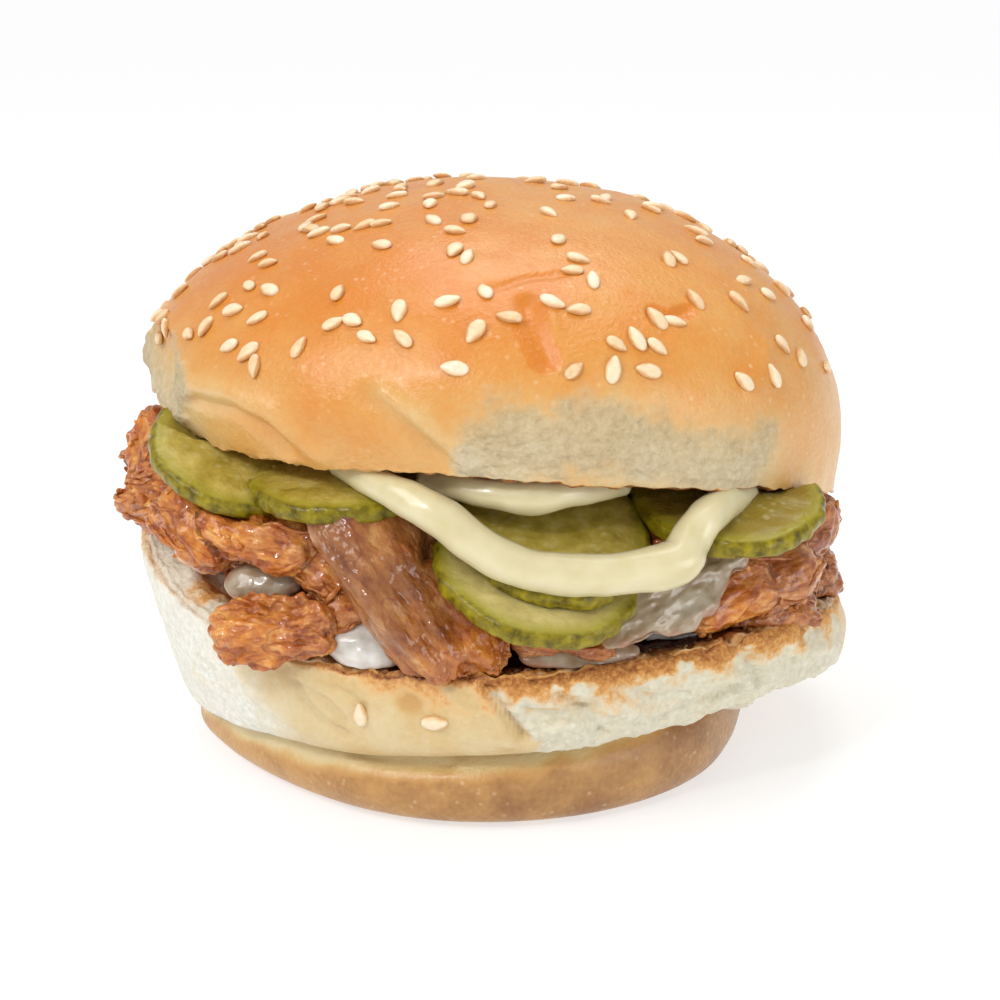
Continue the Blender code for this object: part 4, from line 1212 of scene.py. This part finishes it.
def crown_seeds():
    """Where the seeds lie on the crown, thick on top and sparse down the sides: the solid's, then more."""
    draw = random.Random(SEED_DRAW)
    places = []
    while len(places) < SEED_COUNT:
        turn, share = draw.uniform(0, math.tau), math.sqrt(draw.uniform(0.001, 0.95))
        spin, chance = draw.uniform(0, math.tau), draw.random()
        place, normal = dome_point(turn, share), dome_normal(turn, share)
        density = min(1.0, (place.z - SEED_LOWEST) / SEED_FADE) / max(1.0, normal.z / SEED_LEVEL)
        apart = SEED_SPACING if len(places) < SOLID_SEEDS else CLOSE_SPACING
        if len(places) >= SOLID_SEEDS and math.cos(turn - CROWDED_TURN) < 0.3:
            density *= SPARSE_SHARE
        if chance < density and all((place - other).length > apart for other, _, _ in places):
            places.append((place, normal, spin))
    return places


def seed_shape():
    """A sesame seed: drop-shaped, flat, with a thin rim."""
    corners, faces = ball(3)
    x, y, z = corners.T / 2
    narrow = 1.0 - SEED_TAPER * np.maximum(0.0, x) ** 1.25
    flat = np.sign(z) * np.abs(z * 2) ** 0.8 / 2 * 0.9
    return np.column_stack((x * SEED_LENGTH, y * SEED_WIDTH * narrow, flat * SEED_THICKNESS * narrow)), faces


def seed_move(place, normal, spin, draw):
    """Lays a seed on a surface, turned about its normal, a little tilted and uneven in size."""
    level = Vector((0.0, 0.0, 1.0)).cross(normal).normalized()
    along = Matrix.Rotation(spin, 3, normal) @ level
    tilt = Matrix.Rotation(draw.uniform(-0.16, 0.16), 4, "Y")
    grown = draw.uniform(0.86, 1.10)
    uneven = Matrix.Diagonal((grown, grown * draw.uniform(0.88, 1.08), grown, 1.0))
    return Matrix.Translation(place + normal * SEED_LIFT) @ facing(normal, along) @ tilt @ uneven


def make_seeds(crown_surface, heel_surface):
    draw = random.Random(41)
    corners, faces = seed_shape()
    moves, shades = [], []
    for place, normal, spin in crown_seeds():
        found, tilt, _, _ = crown_surface.find_nearest(place)
        moves.append(seed_move(found, (normal * 2 + tilt).normalized(), spin, draw))
        shades.append(draw.random())
    for pixel, spin in HEEL_SEED_PIXELS:
        place = seen_spot(heel_surface, pixel)
        normal = heel_surface.find_nearest(place)[1]
        moves.append(seed_move(place, normal, math.radians(spin), draw))
        shades.append(0.15)
    mesh = scattered("sesame_seeds", corners, faces, moves)
    places = read(mesh)
    keep_field(mesh, "shade", np.repeat(shades, len(corners)))
    out = np.abs(corners[:, 1]) / (SEED_WIDTH / 2) + np.maximum(0, corners[:, 0]) / (SEED_LENGTH / 2) * 0.7
    keep_field(mesh, "rim", np.tile(ease(out, 0.55, 1.05), len(moves)))
    raise_by(mesh, 0.05 * bumps(places, 1.0, 3))
    return mesh


def make_crumbs(heel_surface):
    """Crumbs along the heel's toasted rim."""
    draw = random.Random(51)
    moves = []
    for _ in range(CRUMB_COUNT):
        turn = draw.uniform(CLEAN_TURNS[1], CLEAN_TURNS[0] + math.tau)
        radius = float(around(HEEL_REACH, turn)) * draw.uniform(*CRUMB_REACH)
        above = Vector(spots(HEEL_MIDDLE, turn, radius, CROWN_TOP))
        found = heel_surface.ray_cast(above, Vector((0.0, 0.0, -1.0)))[0]
        if found is None or math.cos(turn) > PALE_END:
            continue
        shape = stretched(draw, draw.uniform(*CRUMB_SIZE), CRUMB_SHAPE)
        turned = Matrix.Rotation(draw.uniform(0, math.tau), 4, "Z")
        moves.append(Matrix.Translation(found) @ turned @ shape)
    mesh = scattered("toast_crumbs", *ball(2), moves)
    raise_by(mesh, 0.14 * layered(read(mesh), 0.7, 2, seed=3))
    return mesh


class Finish:
    """A material, with a short call for each kind of node. Sizes are in millimetres, or in the unit given."""

    def __init__(self, name):
        self.material = bpy.data.materials.new(name)
        self.material.use_nodes = True
        self.tree = self.material.node_tree
        self.shader = self.tree.nodes["Principled BSDF"]
        self.coordinates = self.node("TexCoord").outputs["Object"]

    def node(self, kind, **settings):
        made = self.tree.nodes.new(f"ShaderNode{kind}")
        for name, value in settings.items():
            setattr(made, name, value)
        return made

    def feed(self, sockets, *values):
        """Gives each socket its value: a link from another node, a colour, or a constant."""
        for socket, value in zip(sockets, values):
            if isinstance(value, bpy.types.NodeSocket):
                self.tree.links.new(value, socket)
            elif isinstance(value, tuple) and len(value) == 3 and socket.type == "RGBA":
                socket.default_value = (*value, 1.0)
            else:
                socket.default_value = value

    def set(self, **values):
        """Sets the shader's own sockets, with _ for each space in a name."""
        for name, value in values.items():
            self.feed([self.shader.inputs[name.replace("_", " ")]], value)

    def field(self, name, output="Fac"):
        return self.node("Attribute", attribute_name=name).outputs[output]

    def along(self, place, *stretch):
        """A place whose axes are stretched."""
        made = self.node("VectorMath", operation="MULTIPLY")
        self.feed(made.inputs, place, stretch)
        return made.outputs[0]

    def noise(self, size, detail=3.0, roughness=0.55, place=None, unit=MM):
        made = self.node("TexNoise")
        sockets = [made.inputs[name] for name in ("Vector", "Scale", "Detail", "Roughness")]
        self.feed(sockets, place or self.coordinates, 1 / (size * unit), detail, roughness)
        return made.outputs[0]

    def cells(self, size, place=None, unit=MM):
        made = self.node("TexVoronoi")
        self.feed([made.inputs["Vector"], made.inputs["Scale"]], place or self.coordinates, 1 / (size * unit))
        return made.outputs["Distance"]

    def sum(self, first, second, operation="ADD", clamp=False):
        made = self.node("Math", operation=operation, use_clamp=clamp)
        self.feed(made.inputs, first, second)
        return made.outputs[0]

    def scaled(self, value, factor):
        return self.sum(value, factor, "MULTIPLY")

    def between(self, value, low, high, to_low=0.0, to_high=1.0):
        """The value's range from low to high, made to_low to to_high."""
        made = self.node("MapRange")
        self.feed(made.inputs, value, low, high, to_low, to_high)
        return made.outputs[0]

    def ramp(self, value, stops):
        """A colour that runs through the stops, each a position and a colour."""
        made = self.node("ValToRGB")
        self.feed(made.inputs, value)
        elements = made.color_ramp.elements
        while len(elements) < len(stops):
            elements.new(0.5)
        for element, (position, colour) in zip(elements, stops):
            element.position = position
            element.color = (*colour, 1.0)
        return made.outputs[0]

    def mix(self, share, first, second, kind="MIX"):
        made = self.node("Mix", data_type="RGBA", blend_type=kind)
        self.feed([made.inputs[number] for number in (0, 6, 7)], share, first, second)
        return made.outputs[2]

    def bump(self, height, depth, normal=None, strength=1.0):
        made = self.node("Bump")
        sockets = [made.inputs[name] for name in ("Distance", "Strength", "Height")]
        self.feed(sockets, depth * MM, strength, height)
        if normal:
            self.feed([made.inputs["Normal"]], normal)
        return made.outputs[0]


def bread(name, crust_stops, crumb_colours, crumb_depth):
    """Crust from cream to deep golden, torn crumb, toasting and sauce, each where its field says."""
    finish = Finish(name)
    bake, crumb, toast, sauce = [finish.field(name) for name in ("bake", "crumb", "toast", "sauce")]
    mottle, speck = finish.noise(7.0, 4.0), finish.noise(0.9, 2.0)
    baked = finish.sum(bake, finish.between(mottle, 0.2, 0.8, -0.13, 0.13))
    baked = finish.sum(baked, finish.between(speck, 0.2, 0.8, -0.07, 0.07), clamp=True)
    crust = finish.ramp(baked, crust_stops)
    blisters = finish.between(finish.cells(1.9), 0.10, 0.24, 0.30, 0.0)
    crust = finish.mix(finish.scaled(blisters, finish.between(mottle, 0.45, 0.6)), crust, BLISTER)
    fluff = finish.noise(1.1, 5.0, 0.65)
    crumb_light, crumb_dark = crumb_colours
    torn_colour = finish.mix(finish.between(fluff, 0.3, 0.62), crumb_dark, crumb_light)
    buttery = finish.between(finish.noise(6.0), 0.5, 0.75, 0.0, 0.35)
    torn_colour = finish.mix(buttery, torn_colour, BUTTERY_CRUMB)
    torn_colour = finish.mix(finish.between(bake, 0.08, 0.42), torn_colour, DRIED_CRUMB, "MULTIPLY")
    colour = finish.mix(crumb, crust, torn_colour)
    singed = finish.scaled(toast, finish.between(finish.noise(0.7, 3.0, 0.7), 0.25, 0.75, 0.55, 1.45))
    colour = finish.mix(finish.between(singed, 0.03, 0.30), colour, finish.ramp(singed, TOASTING))
    colour = finish.mix(finish.scaled(sauce, 0.9), colour, SAUCE)

    matt = finish.sum(crumb, finish.scaled(toast, 0.8), "MAXIMUM")
    rough = finish.between(matt, 0.0, 1.0, 0.37, 0.9)
    rough = finish.sum(rough, finish.between(speck, 0.3, 0.7, -0.05, 0.05))
    rough = finish.sum(rough, finish.scaled(sauce, -0.7), clamp=True)
    skin = finish.bump(finish.noise(0.7, 3.0, 0.6), 0.19, strength=finish.between(matt, 0, 1, 1.0, 0.2))
    skin = finish.bump(finish.noise(2.2, 3.0, 0.6), 0.16, skin, strength=finish.between(matt, 0, 1, 1.0, 0.3))
    pores = finish.sum(finish.scaled(finish.cells(0.8), 0.7), fluff)
    pores = finish.sum(pores, finish.scaled(finish.noise(3.0, 2.0), 1.6))
    normal = finish.bump(pores, crumb_depth, skin, strength=finish.between(matt, 0.1, 1.0, 0.0, 1.0))
    finish.set(
        Base_Color=colour, Roughness=rough, Normal=normal, Specular_IOR_Level=0.5,
        Coat_Weight=finish.between(matt, 0.0, 0.5, 0.22, 0.0), Coat_Roughness=0.24, Subsurface_Weight=0.12,
        Subsurface_Scale=0.0012, Subsurface_Radius=BREAD_SCATTER,
    )
    return finish.material


def seed_coat():
    """Hulled sesame: cream, a little darker towards its edge, some seeds more toasted."""
    finish = Finish("sesame")
    grain = finish.between(finish.noise(0.8), 0.3, 0.7, -0.08, 0.14)
    value = finish.sum(finish.scaled(finish.field("shade"), 0.55), grain)
    value = finish.sum(value, finish.scaled(finish.field("rim"), 0.62), clamp=True)
    finish.set(
        Base_Color=finish.ramp(value, SEED_COLOURS), Roughness=0.36, Subsurface_Weight=0.15,
        Subsurface_Scale=0.0008, Normal=finish.bump(finish.noise(0.5, 2.0), 0.06),
    )
    return finish.material


def meat(name, browns, oranges, strand, depth, glaze):
    """Sauced pork: brown to orange by tone, pale patches of fat, dark veins and a wet glaze."""
    finish = Finish(name)
    grain = finish.field("grain", "Vector")
    fibrous = finish.along(grain, 0.35, 1.0, 1.0)
    strands = finish.noise(strand, 4.0, 0.6, fibrous, unit=1.0)
    patches = finish.noise(5.0, 3.0, 0.6)
    fat = finish.noise(2.6, 4.0, 0.65, finish.along(grain, 0.5, 1.0, 1.0), unit=1.0)
    value = finish.between(strands, 0.3, 0.7, 0.0, 0.55)
    value = finish.sum(value, finish.between(patches, 0.3, 0.7, 0.0, 0.45), clamp=True)
    colour = finish.mix(finish.field("tone"), finish.ramp(value, browns), finish.ramp(value, oranges))
    colour = finish.mix(finish.between(fat, 0.60, 0.72, 0.0, 0.4), colour, PORK_FAT)
    streak = finish.noise(5.0, 1.0, 0.5, fibrous, unit=1.0)
    off_vein = finish.sum(finish.sum(streak, -0.5), 0.0, "ABSOLUTE")
    colour = finish.mix(finish.between(off_vein, 0.0, 0.014, 0.45, 0.0), colour, PORK_VEIN)
    normal = finish.bump(finish.noise(0.6, 3.0, 0.65), 0.26, finish.bump(strands, depth))
    finish.set(
        Base_Color=colour, Roughness=finish.between(patches, 0.3, 0.7, 0.20, 0.42), Normal=normal,
        Coat_Weight=glaze, Coat_Roughness=0.06, Specular_IOR_Level=0.22, Subsurface_Weight=0.15,
        Subsurface_Scale=0.0012, Subsurface_Radius=MEAT_SCATTER,
    )
    return finish.material


def pickle():
    """A pickle slice: pale moist flesh with a ring of seeds, a darker layer, and a green rind."""
    finish = Finish("pickle")
    share, grain = finish.field("share"), finish.field("grain", "Vector")
    flesh = finish.ramp(finish.noise(3.5, 3.0, 0.6, grain, unit=1.0), PICKLE_FLESH)
    flesh = finish.mix(finish.field("pale"), flesh, PALE_FLESH)
    # The field named deep lays painted shade on the flesh of slices that the crown shades
    flesh = finish.mix(finish.field("deep"), flesh, DEEP_FLESH)
    off_pip = finish.cells(1.5, finish.along(grain, 1.0, 1.0, 0.2), unit=1.0)
    ring = finish.scaled(finish.between(share, 0.25, 0.36), finish.between(share, 0.60, 0.72, 1.0, 0.0))
    pip = finish.scaled(finish.between(off_pip, 0.12, 0.40, 1.0, 0.0), ring)
    flesh = finish.mix(finish.scaled(pip, 0.28), flesh, PICKLE_PIP)
    flesh = finish.mix(finish.between(share, 0.80, 0.91, 0.0, 0.75), flesh, UNDER_RIND)
    rind = finish.ramp(finish.noise(1.6, 3.0, 0.6, grain, unit=1.0), PICKLE_RIND)
    finish.set(
        Base_Color=finish.mix(finish.between(share, 0.915, 0.955), flesh, rind), Roughness=0.28,
        Normal=finish.bump(finish.noise(0.8, 3.0, 0.6), 0.16), Coat_Weight=0.16, Coat_Roughness=0.10,
        Specular_IOR_Level=0.2, Subsurface_Weight=0.25, Subsurface_Scale=0.0020,
        Subsurface_Radius=PICKLE_SCATTER,
    )
    return finish.material


def onion(name, stops, depth, stain):
    """Softened onion: veined, wet and a little translucent."""
    finish = Finish(name)
    fibrous = finish.along(finish.field("grain", "Vector"), 0.1, 1.0, 1.0)
    veins = finish.noise(1.0, 3.0, 0.6, fibrous, unit=1.0)
    value = finish.sum(finish.scaled(veins, 0.25), finish.scaled(finish.noise(4.0), 0.75))
    stained = finish.scaled(finish.field("rim"), stain)
    finish.set(
        Base_Color=finish.mix(stained, finish.ramp(value, stops), ONION_STAIN), Roughness=0.24,
        Normal=finish.bump(finish.noise(1.4, 2.0), 0.1, finish.bump(veins, depth)), Coat_Weight=0.5,
        Coat_Roughness=0.08, Subsurface_Weight=0.4, Subsurface_Scale=0.002, Subsurface_Radius=ONION_SCATTER,
    )
    return finish.material


def mayonnaise():
    """Thick and smooth: cream-yellow, a little deeper in soft patches at random, with a soft gloss."""
    finish = Finish("mayonnaise")
    finish.set(
        Base_Color=finish.ramp(finish.noise(5.0, 2.0), MAYONNAISE), Roughness=0.3,
        Normal=finish.bump(finish.noise(2.5, 2.0), 0.12), Coat_Weight=0.35, Coat_Roughness=0.14,
        Subsurface_Weight=0.4, Subsurface_Scale=0.002, Subsurface_Radius=MAYONNAISE_SCATTER,
    )
    return finish.material


def crumb_finish():
    finish = Finish("toast_crumb")
    colour = finish.ramp(finish.noise(4.0, 2.0), CRUMBS)
    finish.set(Base_Color=colour, Roughness=0.85, Normal=finish.bump(finish.noise(0.3, 2.0), 0.1))
    return finish.material


def add_piece(name, mesh, finish, slot, *nodes):
    """A piece of the sandwich, which stands for its solid."""
    piece = placed(name, mesh)
    mesh.materials.clear()
    mesh.materials.append(finish)
    mesh.shade_smooth()
    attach(piece, "root")
    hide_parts(*nodes)


def make_sandwich():
    crust = bread("crown_bread", CROWN_CRUST, CROWN_CRUMB, 0.32)
    base = bread("heel_bread", HEEL_CRUST, HEEL_CRUMB, 0.22)
    pork = meat("pork", PORK_BROWNS, PORK_ORANGES, 0.9, 0.3, 0.65)
    glazed = meat("pork_glazed", SLAB_BROWNS, PORK_ORANGES, 1.7, 0.12, 0.85)
    green, cream = pickle(), mayonnaise()
    pale, glassy = onion("onion", PALE_ONION, 0.04, 0.15), onion("sauced_onion", SAUCED_ONION, 0.05, 0.85)
    crown, heel = make_crown(), make_heel()
    add_piece("crown", crown, crust, "bun_crown", "bun_crown")
    add_piece("heel", heel, base, "bun_heel", "bun_heel")
    crown_surface, heel_surface = tree_of(crown), tree_of(heel)
    seeds = make_seeds(crown_surface, heel_surface)
    add_piece("sesame_seeds", seeds, seed_coat(), "bun_crown", "bun_crown", "bun_heel")
    add_piece("toast_crumbs", make_crumbs(heel_surface), crumb_finish(), "bun_heel", "bun_heel")

    draw = random.Random(PIECE_DRAW)
    for name in PICKLES:
        add_piece(f"{name}_slice", make_pickle(name, draw.uniform(0, math.tau)), green, "pickle", name)
    for name in PORK_PIECES:
        finish = glazed if name == "pork_slab" else pork
        add_piece(f"{name}_torn", make_chunk(name, shift_of(draw)), finish, "pork", name)
    for name in ONIONS:
        finish = glassy if name in SAUCED_ONIONS else pale
        add_piece(f"{name}_petal", make_onion(name), finish, "onion", name)
    for name in RIBBONS:
        add_piece(f"{name}_ribbon", make_ribbon(name), cream, "mayonnaise", name)
    for _ in HEAP_PIECES:
        shift_of(draw)
    pieces = list(HEAP_PIECES) + list(rear_pieces(draw))
    heap = make_heap(pieces)
    add_piece("pork_heap", heap, pork, "pork", "pulled_pork")
    for name, mesh in (("pork_shreds", make_shreds(heap, pieces)), ("pork_scraps", make_scraps(heap))):
        add_piece(name, mesh, pork, "pork", "pulled_pork")


def add_camera():
    camera = bpy.data.cameras.new("camera")
    camera.sensor_width = SENSOR
    camera.lens = SENSOR * FOCAL_PIXELS / PHOTO_SIDE
    camera.clip_start = 0.01
    holder = placed("camera", camera)
    holder.location = EYE * MM
    holder.rotation_euler = (math.pi / 2 - PITCH, 0.0, 0.0)
    bpy.context.scene.camera = holder


def add_lamp(name, place, size, power):
    """A soft square lamp that looks at the sandwich."""
    lamp = bpy.data.lights.new(name, "AREA")
    lamp.shape = "SQUARE"
    lamp.size = size
    lamp.energy = power
    holder = placed(name, lamp)
    holder.location = place
    holder.rotation_euler = (Vector(LAMP_TARGET) - Vector(place)).to_track_quat("-Z", "Y").to_euler()


def add_sun():
    """A far lamp that lights the floor evenly and gives soft shadows."""
    lamp = bpy.data.lights.new("sun", "SUN")
    lamp.energy = SUN_STRENGTH
    lamp.angle = SUN_SPREAD
    placed("sun", lamp).rotation_euler = (-Vector(SUN_PLACE)).to_track_quat("-Z", "Y").to_euler()


def add_floor():
    """A wide pale floor, which also fills the background."""
    shape = bmesh.new()
    bmesh.ops.create_grid(shape, x_segments=2, y_segments=2, size=FLOOR_REACH)
    mesh = bpy.data.meshes.new("floor")
    shape.to_mesh(mesh)
    shape.free()
    floor = placed("floor", mesh)
    finish = Finish("floor")
    finish.set(Base_Color=FLOOR_GREY, Roughness=0.9, Specular_IOR_Level=0.0)
    finish.set(Emission_Color=(1.0, 1.0, 1.0), Emission_Strength=FLOOR_GLOW)
    mesh.materials.append(finish.material)
    floor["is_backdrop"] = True


def light_stage():
    world = bpy.data.worlds.new("studio")
    bpy.context.scene.world = world
    world.use_nodes = True
    sky = world.node_tree.nodes["Background"].inputs
    sky["Color"].default_value = (1.0, 1.0, 1.0, 1.0)
    sky["Strength"].default_value = SKY_STRENGTH
    add_sun()
    for name, lamp in LAMPS.items():
        add_lamp(name, *lamp)
    bpy.context.scene.view_settings.view_transform = "Standard"


def report_size():
    """Works out the solids' box and the dressed model's box, and keeps neither."""
    boxes = {"cad": cad_box, "visual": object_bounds()}
    {name: [list(corner) for corner in box] for name, box in boxes.items()}


add_camera()
make_sandwich()
add_floor()
light_stage()
report_size()
